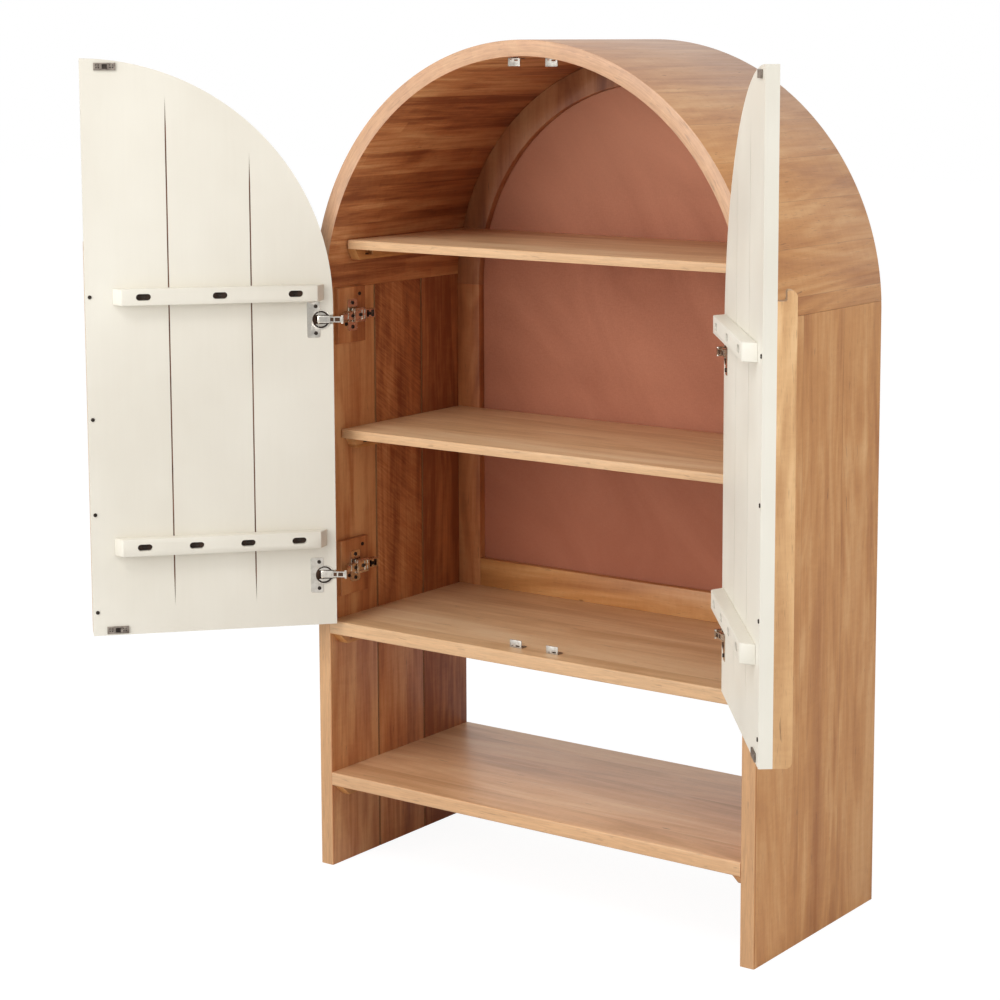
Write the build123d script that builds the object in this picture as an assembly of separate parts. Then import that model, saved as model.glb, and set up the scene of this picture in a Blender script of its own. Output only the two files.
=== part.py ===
"""Arched wooden cabinet with two painted doors on wide-angle concealed hinges.

Millimetres. The origin is the centre of the footprint on the floor, +X is the
viewer's right, +Y is the back and +Z is up. The doors are written standing open.
"""
import os
from math import atan2, cos, degrees, hypot, radians, sin, sqrt

from build123d import *

# Case
CASE_WIDTH = 936.0
CASE_DEPTH = 414.0
CASE_HEIGHT = 1524.0
SIDE_BOARD = 28.0
SIDE_LAP_ANGLE = 2.4
STAVE_COUNT = 18
EDGE_ROUND = 3.0
SEAM_WIDTH = 2.0
SEAM_DEPTH = 1.5
SEAM_COUNT = 2
FIT = 0.3

# Shelves: board thicknesses, heights of the faces that things stand on, and setbacks
CARCASS_SHELF = 25.0
LOOSE_SHELF = 16.0
BOTTOM_SHELF_TOP = 178.0
CABINET_FLOOR_TOP = 466.0
TOP_SHELF_OVER_SPRING = 108.0
UPPER_COMPARTMENT = 331.0
MIDDLE_SHELF_SETBACK = 35.0
TOP_SHELF_SETBACK = 42.0
SHELF_CORNER = 8.0

# Cleats under the shelf ends, which start further back where the doors close in front
CLEAT_WIDTH = 20.0
CLEAT_HEIGHT = 21.0
FIXED_CLEAT_SETBACK = 5.0
FIXED_CLEAT_SLANT = 22.0
LOOSE_CLEAT_SETBACK = 48.0
LOOSE_CLEAT_SLANT = 14.0
CLEAT_BACK_GAP = 6.0
POCKET_LENGTH = 20.0
POCKET_HEIGHT = 13.0
POCKET_DEPTH = 10.0
POCKET_INSET = 30.0

# Back frame and the panel in its rabbet
BACK_FRAME = 24.0
BACK_STILE_WIDTH = 52.0
BACK_RAIL_HEIGHT = 54.0
RABBET_WIDTH = 10.0
RABBET_DEPTH = 8.0
BACK_PANEL = 6.0

# Doors
DOOR_BOARD = 21.0
DOOR_SIDE_GAP = 2.5
DOOR_BOTTOM_GAP = 1.5
DOOR_ARCH_DROP = 2.0
DOOR_MEETING_GAP = 3.0
LEFT_OPEN_ANGLE = 132.3
RIGHT_OPEN_ANGLE = 128.5
GROOVE_WIDTH = 2.5
GROOVE_DEPTH = 2.0
GROOVE_TAPER = 58.0
GROOVE_BOTTOM_MARGIN = 47.5
GROOVE_TOP_MARGINS = (53.0, 40.0)

# Battens across each door's inner face
BATTEN_THICKNESS = 22.0
BATTEN_SLANT = 14.0
BATTEN_HINGE_INSET = 15.5
UPPER_BATTEN_HEIGHT = 29.0
UPPER_BATTEN_OVER_SPRING = 19.5
UPPER_BATTEN_INSET = 47.0
UPPER_BATTEN_WELLS = 3
LOWER_BATTEN_HEIGHT = 31.0
LOWER_BATTEN_OVER_FLOOR = 162.5
LOWER_BATTEN_INSET = 40.0
LOWER_BATTEN_WELLS = 4
WELL_END_INSET = 53.0
SLOT_LENGTH = 26.0
SLOT_WIDTH = 12.0
SLOT_DEPTH = 9.0

# Pull strip on each door's front, along the meeting edge
PULL_WIDTH = 24.0
PULL_DEPTH = 29.0
PULL_LIP = 14.0
PULL_OVER_SPRING = 115.0
PULL_LIP_RISE = 16.0
PULL_CORNER = 10.0
PULL_SCREW_OVER_BOTTOM = 42.5
PULL_SCREW_OVER_BATTEN = 58.5
PULL_SCREW_OVER_SHELF = 41.0
PULL_SCREW_LENGTH = 40.0

# Screws
SCREW_HEAD_RADIUS = 3.4
SCREW_HEAD_HEIGHT = 1.8
SCREW_SHANK_RADIUS = 1.9
SCREW_SLOT = 1.0
SCREW_LENGTH = 14.0
SCREW_HOLE_CLEARANCE = 0.1

# Catches: a plate on each door and an angle plate on the case at both ends
CATCH_LENGTH = 38.0
CATCH_HEIGHT = 13.0
CATCH_BOARD = 3.0
CATCH_EDGE_DISTANCE = 24.0
CATCH_END_GAP = 3.0
STRIKE_CENTRE = 39.0
STRIKE_WIDTH = 25.0
STRIKE_HEIGHT = 14.0
STRIKE_FOOT = 16.0
STRIKE_SHEET = 1.6
STRIKE_GAP = 8.0

# Hinges
LOWER_HINGE_OVER_FLOOR = 93.5
UPPER_HINGE_UNDER_SPRING = 30.0
ARM_RATIO = 0.63
CUP_LINK_RATIO = 0.16
ARM_PIN_IN = 19.1
ARM_PIN_BACK = 26.6
ARM_LINK_LENGTH = 42.3
CUP_LINK_LENGTH = 44.1
ARM_BRIDGE_FROM_PIN = 17.8
CUP_PIN_INSET = 25.9
CUP_PIN_DEPTH = 7.4
CUP_INSET = 22.0
CUP_RADIUS = 17.5
CUP_DEPTH = 13.0
CUP_WALL = 1.6
FLANGE_SHEET = 1.0
FLANGE_HEIGHT = 64.0
FLANGE_ENDS = (24.0, 47.0)
CUP_SCREW_INSET = 31.3
CUP_SCREW_SPACING = 48.5
LINK_HALF_WIDTH = 3.0
CUP_LINK_THICKNESS = 10.5
CHEEK = 2.0
CHEEK_GAP = 0.25
PIN_RADIUS = 1.5
PIN_CLEARANCE = 0.05
NOTCH_CLEARANCE = 3.0
BLOCK_THICKNESS = 10.0
BLOCK_SETBACK = 23.0
BLOCK_DEPTH = 77.0
BLOCK_HEIGHT = 102.0
PLATE_SHEET = 2.0
PLATE_CENTRE = 61.0
PLATE_WIDTH = 16.0
PLATE_HEIGHT = 58.0
PLATE_SCREW_SPACING = 44.0
ARM_START = 37.0
ARM_END = 112.0
ARM_HEIGHT = 17.0
ARM_TOP = 23.0
ARM_SCREWS = (48.0, 70.0, 96.0)
BLOCK_SCREW_BACK_INSET = 17.0
BLOCK_SCREW_FRONT_INSET = 21.0
BLOCK_SCREW_TOP_INSET = 14.0
BLOCK_SCREW_DROP = 16.0

# Worked out from the sizes above
FRONT = -CASE_DEPTH / 2
BACK = CASE_DEPTH / 2
OUTER_RADIUS = CASE_WIDTH / 2
INNER_RADIUS = OUTER_RADIUS - SIDE_BOARD
SPRINGLINE = CASE_HEIGHT - OUTER_RADIUS
TOP_SHELF_TOP = SPRINGLINE + TOP_SHELF_OVER_SPRING
MIDDLE_SHELF_TOP = TOP_SHELF_TOP - LOOSE_SHELF - UPPER_COMPARTMENT
BACK_FRAME_FRONT = BACK - BACK_FRAME
DOOR_EDGE = -INNER_RADIUS + DOOR_SIDE_GAP
DOOR_INNER_FACE = FRONT + DOOR_BOARD
DOOR_WIDTH = INNER_RADIUS - DOOR_SIDE_GAP - DOOR_MEETING_GAP / 2
DOOR_BOTTOM = CABINET_FLOOR_TOP + DOOR_BOTTOM_GAP
DOOR_RADIUS = INNER_RADIUS - DOOR_SIDE_GAP
DOOR_ARCH_CENTRE = SPRINGLINE - DOOR_ARCH_DROP
UPPER_BATTEN_CENTRE = SPRINGLINE + UPPER_BATTEN_OVER_SPRING
LOWER_BATTEN_CENTRE = CABINET_FLOOR_TOP + LOWER_BATTEN_OVER_FLOOR
PULL_TOP = SPRINGLINE + PULL_OVER_SPRING
HINGE_HEIGHTS = (CABINET_FLOOR_TOP + LOWER_HINGE_OVER_FLOOR, SPRINGLINE - UPPER_HINGE_UNDER_SPRING)
ARM_PIN = (-INNER_RADIUS + ARM_PIN_IN, FRONT + ARM_PIN_BACK)
CUP_PIN = (DOOR_EDGE + CUP_PIN_INSET, DOOR_INNER_FACE - CUP_PIN_DEPTH)
MOUNT_FACE = -INNER_RADIUS + BLOCK_THICKNESS


def block(x_range, y_range, z_range):
    """A box between two values on each axis."""
    size = [high - low for low, high in (x_range, y_range, z_range)]
    centre = [(high + low) / 2 for low, high in (x_range, y_range, z_range)]
    return Pos(*centre) * Box(*size)


def front_view(sketch, y_front, thickness):
    """A front-view sketch made into a board that starts at y_front."""
    plane = Plane(origin=(0, y_front + thickness, 0), x_dir=(1, 0, 0), z_dir=(0, -1, 0))
    return extrude(plane * sketch, amount=thickness)


def side_view(points, x_left, thickness):
    """A closed side-view outline of (y, z) points made into a board along X."""
    plane = Plane(origin=(x_left, 0, 0), x_dir=(0, 1, 0), z_dir=(1, 0, 0))
    return extrude(plane * make_face(Polyline(*points, close=True)), amount=thickness)


def plan_view(sketch, z_bottom, thickness):
    """A plan-view sketch made into a plate that starts at z_bottom."""
    return extrude(Pos(0, 0, z_bottom) * sketch, amount=thickness)


def group(pieces):
    """Separate solids that share one node."""
    return Compound(children=[solid for piece in pieces for solid in piece.solids()])


def mirrored(piece):
    """The same piece on the other side of the cabinet."""
    return mirror(piece, about=Plane.YZ)


def screw(length=SCREW_LENGTH):
    """A slotted pan-head screw pointing down, seated at the origin."""
    head = Pos(0, 0, SCREW_HEAD_HEIGHT / 2) * Cylinder(SCREW_HEAD_RADIUS, SCREW_HEAD_HEIGHT)
    head = fillet(head.edges().group_by(Axis.Z)[-1], SCREW_HEAD_HEIGHT / 2)
    shank = Pos(0, 0, -length / 2) * Cylinder(SCREW_SHANK_RADIUS, length)
    slot = Pos(0, 0, SCREW_HEAD_HEIGHT) * Box(2 * SCREW_HEAD_RADIUS, SCREW_SLOT, SCREW_HEAD_HEIGHT)
    return head + shank - slot


def screws(fixings):
    """The screws of a list of (seat, length) fixings, as one group."""
    return group([seat * screw(length) for seat, length in fixings])


def drilled(piece, fixings):
    """A piece with a hole for the shank of every fixing that meets it."""
    radius = SCREW_SHANK_RADIUS + SCREW_HOLE_CLEARANCE
    for seat, length in fixings:
        reach = length + SCREW_HOLE_CLEARANCE
        piece -= seat * Pos(0, 0, -reach / 2) * Cylinder(radius, reach)
    return piece


def both_sides(left):
    """A left piece, or group, together with its mirror image."""
    return group([left, mirrored(left)])


def ring_sector(outer, inner, start, end):
    """Front-view sector of a ring about the arch's centre, between two angles."""
    ring = Pos(0, SPRINGLINE) * (Circle(outer) - Circle(inner))
    reach = 2 * outer
    middle = (start + end) / 2
    centre = Vector(0, SPRINGLINE)
    corners = [centre]
    for angle in (start, middle, end):
        corners.append(centre + Vector(reach * cos(radians(angle)), reach * sin(radians(angle))))
    return ring & make_face(Polyline(*corners, close=True))


# Case ------------------------------------------------------------------------

def arch_sector(start, end):
    """Part of the arch between two angles, with its rims rounded."""
    sector = front_view(ring_sector(OUTER_RADIUS, INNER_RADIUS, start, end), FRONT, CASE_DEPTH)
    return fillet(sector.edges().filter_by(GeomType.CIRCLE), EDGE_ROUND)


def arch_staves():
    """Curved staves, joined edge to edge, from one side panel to the other."""
    step = (180 - 2 * SIDE_LAP_ANGLE) / STAVE_COUNT
    first = arch_sector(SIDE_LAP_ANGLE, SIDE_LAP_ANGLE + step)
    staves = []
    for index in range(STAVE_COUNT):
        turn = Rot(0, -index * step, 0)
        stave = Pos(0, 0, SPRINGLINE) * turn * Pos(0, 0, -SPRINGLINE) * first
        if index in (STAVE_COUNT // 2 - 1, STAVE_COUNT // 2):
            stave = drilled(stave, top_strike_fixings() + mirrored_fixings(top_strike_fixings()))
        staves.append(stave)
    return group(staves)


def side_panel():
    """Left side: a straight panel that runs a little way up the arch."""
    straight = block((-OUTER_RADIUS, -INNER_RADIUS), (FRONT, BACK), (0, SPRINGLINE))
    straight = fillet(straight.edges().filter_by(Axis.Z), EDGE_ROUND)
    panel = straight + arch_sector(180 - SIDE_LAP_ANGLE, 180)
    top = SPRINGLINE + OUTER_RADIUS
    for index in range(SEAM_COUNT):
        centre = FRONT + (index + 1) * CASE_DEPTH / (SEAM_COUNT + 1)
        panel -= block((-INNER_RADIUS - SEAM_DEPTH, -INNER_RADIUS + CLEAT_WIDTH),
                       (centre - SEAM_WIDTH / 2, centre + SEAM_WIDTH / 2), (0, top))
    for height in HINGE_HEIGHTS:
        panel = drilled(panel, block_fixings(height))
    return panel


def carcass_shelf(top, fixings=()):
    """A fixed shelf, as deep as the case and flush with its front."""
    board = block((-INNER_RADIUS, INNER_RADIUS), (FRONT, BACK), (top - CARCASS_SHELF, top))
    front_edges = board.edges().filter_by(Axis.X).group_by(Axis.Y)[0]
    return drilled(fillet(front_edges, EDGE_ROUND), fixings)


def loose_shelf(top, setback):
    """A thinner shelf, set back from the doors, that reaches to the back frame."""
    rise = max(0, top - SPRINGLINE)
    half = sqrt(INNER_RADIUS**2 - rise**2) - FIT
    board = block((-half, half), (FRONT + setback, BACK_FRAME_FRONT), (top - LOOSE_SHELF, top))
    board = fillet(board.edges().filter_by(Axis.Z).group_by(Axis.Y)[0], SHELF_CORNER)
    front_edges = board.faces().sort_by(Axis.Z)[-1].edges().group_by(Axis.Y)[0]
    return fillet(front_edges, EDGE_ROUND)


def wall_distance(height):
    """How far from the middle the inside of the case is at a height."""
    return sqrt(INNER_RADIUS**2 - max(0, height - SPRINGLINE)**2)


def cleat(top, setback, slant):
    """Left cleat: a rail under a shelf end, slanted in front, with two screw pockets."""
    bottom = top - CLEAT_HEIGHT
    start = FRONT + setback
    end = BACK_FRAME_FRONT - CLEAT_BACK_GAP
    outline = [(start, top), (start + slant, bottom), (end, bottom), (end, top)]
    wall = -wall_distance(top)
    rail = side_view(outline, wall, CLEAT_WIDTH)
    for pocket_start in pocket_starts(setback):
        rail -= block((wall + CLEAT_WIDTH - POCKET_DEPTH, wall + CLEAT_WIDTH),
                      (pocket_start, pocket_start + POCKET_LENGTH), (top - POCKET_HEIGHT, top))
    return drilled(rail, cleat_fixings(top, setback))


def pocket_starts(setback):
    """Front end of each screw pocket in a cleat."""
    first = FRONT + setback + POCKET_INSET
    last = BACK_FRAME_FRONT - CLEAT_BACK_GAP - POCKET_INSET - POCKET_LENGTH
    return (first, last)


def cleat_pair(shelf_top, thickness, setback, slant):
    """Both cleats of one shelf."""
    return both_sides(cleat(shelf_top - thickness, setback, slant))


SHELVES = {
    "bottom_shelf": (BOTTOM_SHELF_TOP, CARCASS_SHELF, FIXED_CLEAT_SETBACK, FIXED_CLEAT_SLANT),
    "cabinet_floor": (CABINET_FLOOR_TOP, CARCASS_SHELF, FIXED_CLEAT_SETBACK, FIXED_CLEAT_SLANT),
    "middle_shelf": (MIDDLE_SHELF_TOP, LOOSE_SHELF, LOOSE_CLEAT_SETBACK, LOOSE_CLEAT_SLANT),
    "top_shelf": (TOP_SHELF_TOP, LOOSE_SHELF, LOOSE_CLEAT_SETBACK, LOOSE_CLEAT_SLANT),
}


def cleat_fixings(under, setback):
    """A short screw in the floor of each pocket of a left cleat."""
    x = -wall_distance(under) + CLEAT_WIDTH - POCKET_DEPTH / 2
    fixings = []
    for start in pocket_starts(setback):
        seat = Pos(x, start + POCKET_LENGTH / 2, under - POCKET_HEIGHT)
        fixings.append((seat, CLEAT_HEIGHT - POCKET_HEIGHT))
    return fixings


def cleat_screws():
    """The screws of all cleats."""
    fixings = []
    for top, thickness, setback, _ in SHELVES.values():
        fixings.extend(cleat_fixings(top - thickness, setback))
    return both_sides(screws(fixings))


# Back ------------------------------------------------------------------------

def rabbet():
    """Front-view outline of the recess that the back panel lies in."""
    half = INNER_RADIUS - BACK_STILE_WIDTH + RABBET_WIDTH
    bottom = CABINET_FLOOR_TOP + BACK_RAIL_HEIGHT - RABBET_WIDTH
    lower = Pos(0, (bottom + SPRINGLINE) / 2) * Rectangle(2 * half, SPRINGLINE - bottom)
    return lower + Pos(0, SPRINGLINE) * Circle(half)


def rabbeted(piece):
    """A frame piece with the back panel's recess cut from behind."""
    return piece - front_view(rabbet(), BACK - RABBET_DEPTH, RABBET_DEPTH)


def back_stile():
    """Left upright of the back frame, standing on the cabinet floor."""
    inner = -INNER_RADIUS + BACK_STILE_WIDTH
    return rabbeted(block((-INNER_RADIUS, inner), (BACK_FRAME_FRONT, BACK), (CABINET_FLOOR_TOP, SPRINGLINE)))


def back_arch_rail():
    """Half-ring of the back frame, on top of its two uprights."""
    sector = ring_sector(INNER_RADIUS - FIT, INNER_RADIUS - BACK_STILE_WIDTH, 0, 90)
    sector += ring_sector(INNER_RADIUS - FIT, INNER_RADIUS - BACK_STILE_WIDTH, 90, 180)
    return rabbeted(front_view(sector, BACK_FRAME_FRONT, BACK_FRAME))


def back_bottom_rail():
    """Low rail of the back frame, between the uprights."""
    half = INNER_RADIUS - BACK_STILE_WIDTH
    top = CABINET_FLOOR_TOP + BACK_RAIL_HEIGHT
    return rabbeted(block((-half, half), (BACK_FRAME_FRONT, BACK), (CABINET_FLOOR_TOP, top)))


def back_panel():
    """Thin board that lies in the frame's rabbet."""
    outline = offset(rabbet(), -FIT)
    return front_view(outline, BACK - RABBET_DEPTH, BACK_PANEL)


# Catches on the case ---------------------------------------------------------

def strike_plate(seat, way, fixings):
    """Left angle plate: a foot on a seat and an upright that points up or down."""
    x_range = (-STRIKE_CENTRE - STRIKE_WIDTH / 2, -STRIKE_CENTRE + STRIKE_WIDTH / 2)
    front = DOOR_INNER_FACE + STRIKE_GAP
    upright = block(x_range, (front, front + STRIKE_SHEET), sorted((seat, seat + way * STRIKE_HEIGHT)))
    foot = block(x_range, (front, front + STRIKE_FOOT), sorted((seat, seat + way * STRIKE_SHEET)))
    return drilled(upright + foot, fixings)


def arch_height():
    """Inner height of the arch at the strike plate's outer side."""
    reach = STRIKE_CENTRE + STRIKE_WIDTH / 2
    return SPRINGLINE + sqrt(INNER_RADIUS**2 - reach**2)


def strike_screw_place():
    """Distance from the front to the screw in a strike plate's foot."""
    return DOOR_INNER_FACE + STRIKE_GAP + STRIKE_SHEET + (STRIKE_FOOT - STRIKE_SHEET) / 2


def bottom_strike_fixings():
    """Screw of the left strike plate on the cabinet floor."""
    return [(Pos(-STRIKE_CENTRE, strike_screw_place(), CABINET_FLOOR_TOP + STRIKE_SHEET), SCREW_LENGTH)]


def top_strike_fixings():
    """Screw of the left strike plate under the arch."""
    seat = Pos(-STRIKE_CENTRE, strike_screw_place(), arch_height() - STRIKE_SHEET)
    return [(seat * Rot(180, 0, 0), SCREW_LENGTH)]


def mirrored_fixings(fixings):
    """The same upright fixings on the other side of the cabinet."""
    return [(Pos(-2 * seat.position.X, 0, 0) * seat, length) for seat, length in fixings]


# Hinges ----------------------------------------------------------------------

def closed_knuckle():
    """Middle pin of a closed hinge, where its two links meet inside the case."""
    span = (CUP_PIN[0] - ARM_PIN[0], CUP_PIN[1] - ARM_PIN[1])
    reach = hypot(*span)
    along = (ARM_LINK_LENGTH**2 - CUP_LINK_LENGTH**2 + reach**2) / (2 * reach)
    across = sqrt(ARM_LINK_LENGTH**2 - along**2)
    unit = (span[0] / reach, span[1] / reach)
    return (ARM_PIN[0] + along * unit[0] - across * unit[1],
            ARM_PIN[1] + along * unit[1] + across * unit[0])


def direction(start, end):
    """Angle of the line from one point to another."""
    return atan2(end[1] - start[1], end[0] - start[0])


def stepped(start, angle, length):
    """The point a length away from another at an angle."""
    return (start[0] + length * cos(angle), start[1] + length * sin(angle))


def hinge_pose(opening):
    """Knuckle and cup pin of the left hinge at a door opening in degrees."""
    knuckle = closed_knuckle()
    arm_angle = direction(ARM_PIN, knuckle) - radians(opening) * ARM_RATIO
    cup_angle = direction(knuckle, CUP_PIN) - radians(opening) * CUP_LINK_RATIO
    knuckle = stepped(ARM_PIN, arm_angle, ARM_LINK_LENGTH)
    return knuckle, stepped(knuckle, cup_angle, CUP_LINK_LENGTH)


def link_outline(start, end, half_width):
    """Plan-view slot shape from one pin to another."""
    length = hypot(end[0] - start[0], end[1] - start[1])
    middle = ((start[0] + end[0]) / 2, (start[1] + end[1]) / 2)
    turn = degrees(direction(start, end))
    return Pos(*middle) * Rot(0, 0, turn) * SlotCenterToCenter(length, 2 * half_width)


def pin_hole(point, height, reach):
    """Running bore for a pin."""
    return Pos(point[0], point[1], height) * Cylinder(PIN_RADIUS + PIN_CLEARANCE, reach)


def pin(point, height, length):
    """A plain pin on a vertical axis."""
    return Pos(point[0], point[1], height) * Cylinder(PIN_RADIUS, length)


def cheek_offset():
    """Distance of each cheek's inner face from the hinge's middle."""
    return CUP_LINK_THICKNESS / 2 + CHEEK_GAP


def arm_link(height, opening):
    """Fork of two cheeks with a bridge, between the fixed arm and the knuckle."""
    knuckle, _ = hinge_pose(opening)
    outline = link_outline(ARM_PIN, knuckle, LINK_HALF_WIDTH)
    inner = cheek_offset()
    lower = plan_view(outline, height - inner - CHEEK, CHEEK)
    upper = plan_view(outline, height + inner, CHEEK)
    angle = direction(ARM_PIN, knuckle)
    bridge_centre = stepped(ARM_PIN, angle, ARM_BRIDGE_FROM_PIN)
    bridge = Pos(bridge_centre[0], bridge_centre[1], height) * Rot(0, 0, degrees(angle)) * Box(
        2 * LINK_HALF_WIDTH, LINK_HALF_WIDTH, 2 * inner)
    fork = lower + upper + bridge
    for point in (ARM_PIN, knuckle):
        fork -= pin_hole(point, height, 4 * inner)
    return fork


def cup_link(height, opening):
    """Single link between the knuckle and the pin in the door's cup."""
    knuckle, cup_pin = hinge_pose(opening)
    outline = link_outline(knuckle, cup_pin, LINK_HALF_WIDTH)
    link = plan_view(outline, height - CUP_LINK_THICKNESS / 2, CUP_LINK_THICKNESS)
    for point in (knuckle, cup_pin):
        link -= pin_hole(point, height, 2 * CUP_LINK_THICKNESS)
    return link


def knuckle_pin(height, opening):
    """Pin that joins the two links."""
    knuckle, _ = hinge_pose(opening)
    return pin(knuckle, height, 2 * (cheek_offset() + CHEEK))


def arm_pin(height):
    """Pin that joins the arm link to the fixed arm."""
    return pin(ARM_PIN, height, 2 * (cheek_offset() + CHEEK))


def hinge_block(height):
    """Wooden packing block on the side panel, behind the closed door."""
    y_start = FRONT + BLOCK_SETBACK
    z_range = (height - BLOCK_HEIGHT / 2, height + BLOCK_HEIGHT / 2)
    body = block((-INNER_RADIUS, MOUNT_FACE), (y_start, y_start + BLOCK_DEPTH), z_range)
    body = fillet(body.edges().group_by(Axis.X)[-1], EDGE_ROUND / 2)
    if z_range[1] > SPRINGLINE:
        arch = ring_sector(OUTER_RADIUS, INNER_RADIUS - FIT, 90, 180)
        body -= front_view(arch, y_start, BLOCK_DEPTH)
    return drilled(body, block_fixings(height) + plate_fixings(height))


def mounting_plate(height):
    """Winged steel plate under the arm."""
    centre = FRONT + PLATE_CENTRE
    plate = block((MOUNT_FACE, MOUNT_FACE + PLATE_SHEET),
                  (centre - PLATE_WIDTH / 2, centre + PLATE_WIDTH / 2),
                  (height - PLATE_HEIGHT / 2, height + PLATE_HEIGHT / 2))
    plate = fillet(plate.edges().filter_by(Axis.X), PLATE_WIDTH / 4)
    return drilled(plate, plate_fixings(height) + arm_fixings(height))


def hinge_arm(height):
    """Fixed arm: a body on the plate and a nose that holds the arm pin."""
    base = MOUNT_FACE + PLATE_SHEET
    top = -INNER_RADIUS + ARM_TOP
    body = block((base, top), (FRONT + ARM_START, FRONT + ARM_END),
                 (height - ARM_HEIGHT / 2, height + ARM_HEIGHT / 2))
    body = fillet(body.edges().filter_by(Axis.Y).group_by(Axis.X)[-1], EDGE_ROUND / 2)
    nose = link_outline(ARM_PIN, (ARM_PIN[0], FRONT + ARM_START + LINK_HALF_WIDTH), LINK_HALF_WIDTH)
    arm = body + plan_view(nose, height - CUP_LINK_THICKNESS / 2, CUP_LINK_THICKNESS)
    arm -= pin_hole(ARM_PIN, height, 2 * CUP_LINK_THICKNESS)
    return drilled(arm, arm_fixings(height))


def plate_fixings(height):
    """Screws in the wings of one mounting plate."""
    fixings = []
    for sign in (-1, 1):
        z = height + sign * PLATE_SCREW_SPACING / 2
        seat = Pos(MOUNT_FACE + PLATE_SHEET, FRONT + PLATE_CENTRE, z)
        fixings.append((seat * Rot(0, 90, 0), BLOCK_THICKNESS + PLATE_SHEET))
    return fixings


def arm_fixings(height):
    """Screws and adjusters along one arm, down to the block."""
    fixings = []
    for y in ARM_SCREWS:
        seat = Pos(-INNER_RADIUS + ARM_TOP, FRONT + y, height)
        fixings.append((seat * Rot(0, 90, 0), ARM_TOP - BLOCK_THICKNESS))
    return fixings


def block_fixings(height):
    """Screws that hold one left packing block to the side panel."""
    y_start = FRONT + BLOCK_SETBACK
    back = (y_start + BLOCK_DEPTH - BLOCK_SCREW_BACK_INSET, height + BLOCK_HEIGHT / 2 - BLOCK_SCREW_TOP_INSET)
    front = (y_start + BLOCK_SCREW_FRONT_INSET, height - BLOCK_SCREW_DROP)
    length = BLOCK_THICKNESS + SCREW_LENGTH / 2
    return [(Pos(MOUNT_FACE, y, z) * Rot(0, 90, 0), length) for y, z in (back, front)]


def cup_centre(height):
    """Centre of a hinge cup's mouth on the closed left door."""
    return Pos(DOOR_EDGE + CUP_INSET, DOOR_INNER_FACE, height)


def cup_notch(height, bottom_width):
    """Way out of the cup, through the door's edge, for the link of an open hinge."""
    half = CUP_LINK_THICKNESS / 2 + NOTCH_CLEARANCE
    depth = LINK_HALF_WIDTH + NOTCH_CLEARANCE
    return block((DOOR_EDGE - bottom_width, DOOR_EDGE + CUP_INSET),
                 (DOOR_INNER_FACE - depth, DOOR_INNER_FACE + depth), (height - half, height + half))


def hinge_cup(height):
    """Pressed cup with a winged flange on the door's inner face."""
    mouth = cup_centre(height) * Rot(90, 0, 0)
    outer = mouth * Pos(0, 0, CUP_DEPTH / 2) * Cylinder(CUP_RADIUS - FIT, CUP_DEPTH)
    flange = block((DOOR_EDGE + FLANGE_ENDS[0], DOOR_EDGE + FLANGE_ENDS[1]),
                   (DOOR_INNER_FACE, DOOR_INNER_FACE + FLANGE_SHEET),
                   (height - FLANGE_HEIGHT / 2, height + FLANGE_HEIGHT / 2))
    flange = fillet(flange.edges().filter_by(Axis.Y), EDGE_ROUND)
    rim = mouth * Pos(0, 0, -FLANGE_SHEET / 2) * Cylinder(CUP_RADIUS, FLANGE_SHEET)
    hollow_depth = CUP_DEPTH - CUP_WALL + FLANGE_SHEET
    hollow_radius = CUP_RADIUS - FIT - CUP_WALL
    hollow = mouth * Pos(0, 0, hollow_depth / 2 - FLANGE_SHEET) * Cylinder(hollow_radius, hollow_depth)
    cup = outer + flange + rim - hollow - cup_notch(height, DOOR_BOARD)
    return drilled(cup, cup_fixings(height))


def cup_pin(height):
    """Pin across the cup that carries the door."""
    across = CUP_PIN_INSET - CUP_INSET + PIN_RADIUS
    chord = sqrt((CUP_RADIUS - FIT - CUP_WALL)**2 - across**2)
    return pin(CUP_PIN, height, 2 * chord - FIT)


def cup_fixings(height):
    """Both screws of one hinge cup."""
    fixings = []
    for sign in (-1, 1):
        z = height + sign * CUP_SCREW_SPACING / 2
        seat = Pos(DOOR_EDGE + CUP_SCREW_INSET, DOOR_INNER_FACE + FLANGE_SHEET, z)
        fixings.append((seat * Rot(-90, 0, 0), SCREW_LENGTH))
    return fixings


# Door: written closed on the left, then hung open ------------------------------

def door_outline():
    """Front-view outline: straight sides and a quarter arch."""
    middle = DOOR_EDGE + DOOR_WIDTH / 2
    height = CASE_HEIGHT - DOOR_BOTTOM
    board = Pos(middle, DOOR_BOTTOM + height / 2) * Rectangle(DOOR_WIDTH, height)
    arch = Pos(0, DOOR_ARCH_CENTRE) * Circle(DOOR_RADIUS)
    straight_height = DOOR_ARCH_CENTRE - DOOR_BOTTOM
    straight = Pos(middle, DOOR_BOTTOM + straight_height / 2) * Rectangle(DOOR_WIDTH, straight_height)
    return straight + (board & arch)


def door_groove(index):
    """Tapered groove between two boards, cut in the inner face."""
    x = DOOR_EDGE + (index + 1) * DOOR_WIDTH / (len(GROOVE_TOP_MARGINS) + 1)
    z_low = DOOR_BOTTOM + GROOVE_BOTTOM_MARGIN
    z_high = DOOR_ARCH_CENTRE + sqrt(DOOR_RADIUS**2 - x**2) - GROOVE_TOP_MARGINS[index]
    side = GROOVE_WIDTH / 2
    outline = Polyline((x, z_low), (x + side, z_low + GROOVE_TAPER), (x + side, z_high - GROOVE_TAPER),
                       (x, z_high), (x - side, z_high - GROOVE_TAPER), (x - side, z_low + GROOVE_TAPER),
                       close=True)
    return front_view(make_face(outline), DOOR_INNER_FACE - GROOVE_DEPTH, GROOVE_DEPTH)


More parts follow.
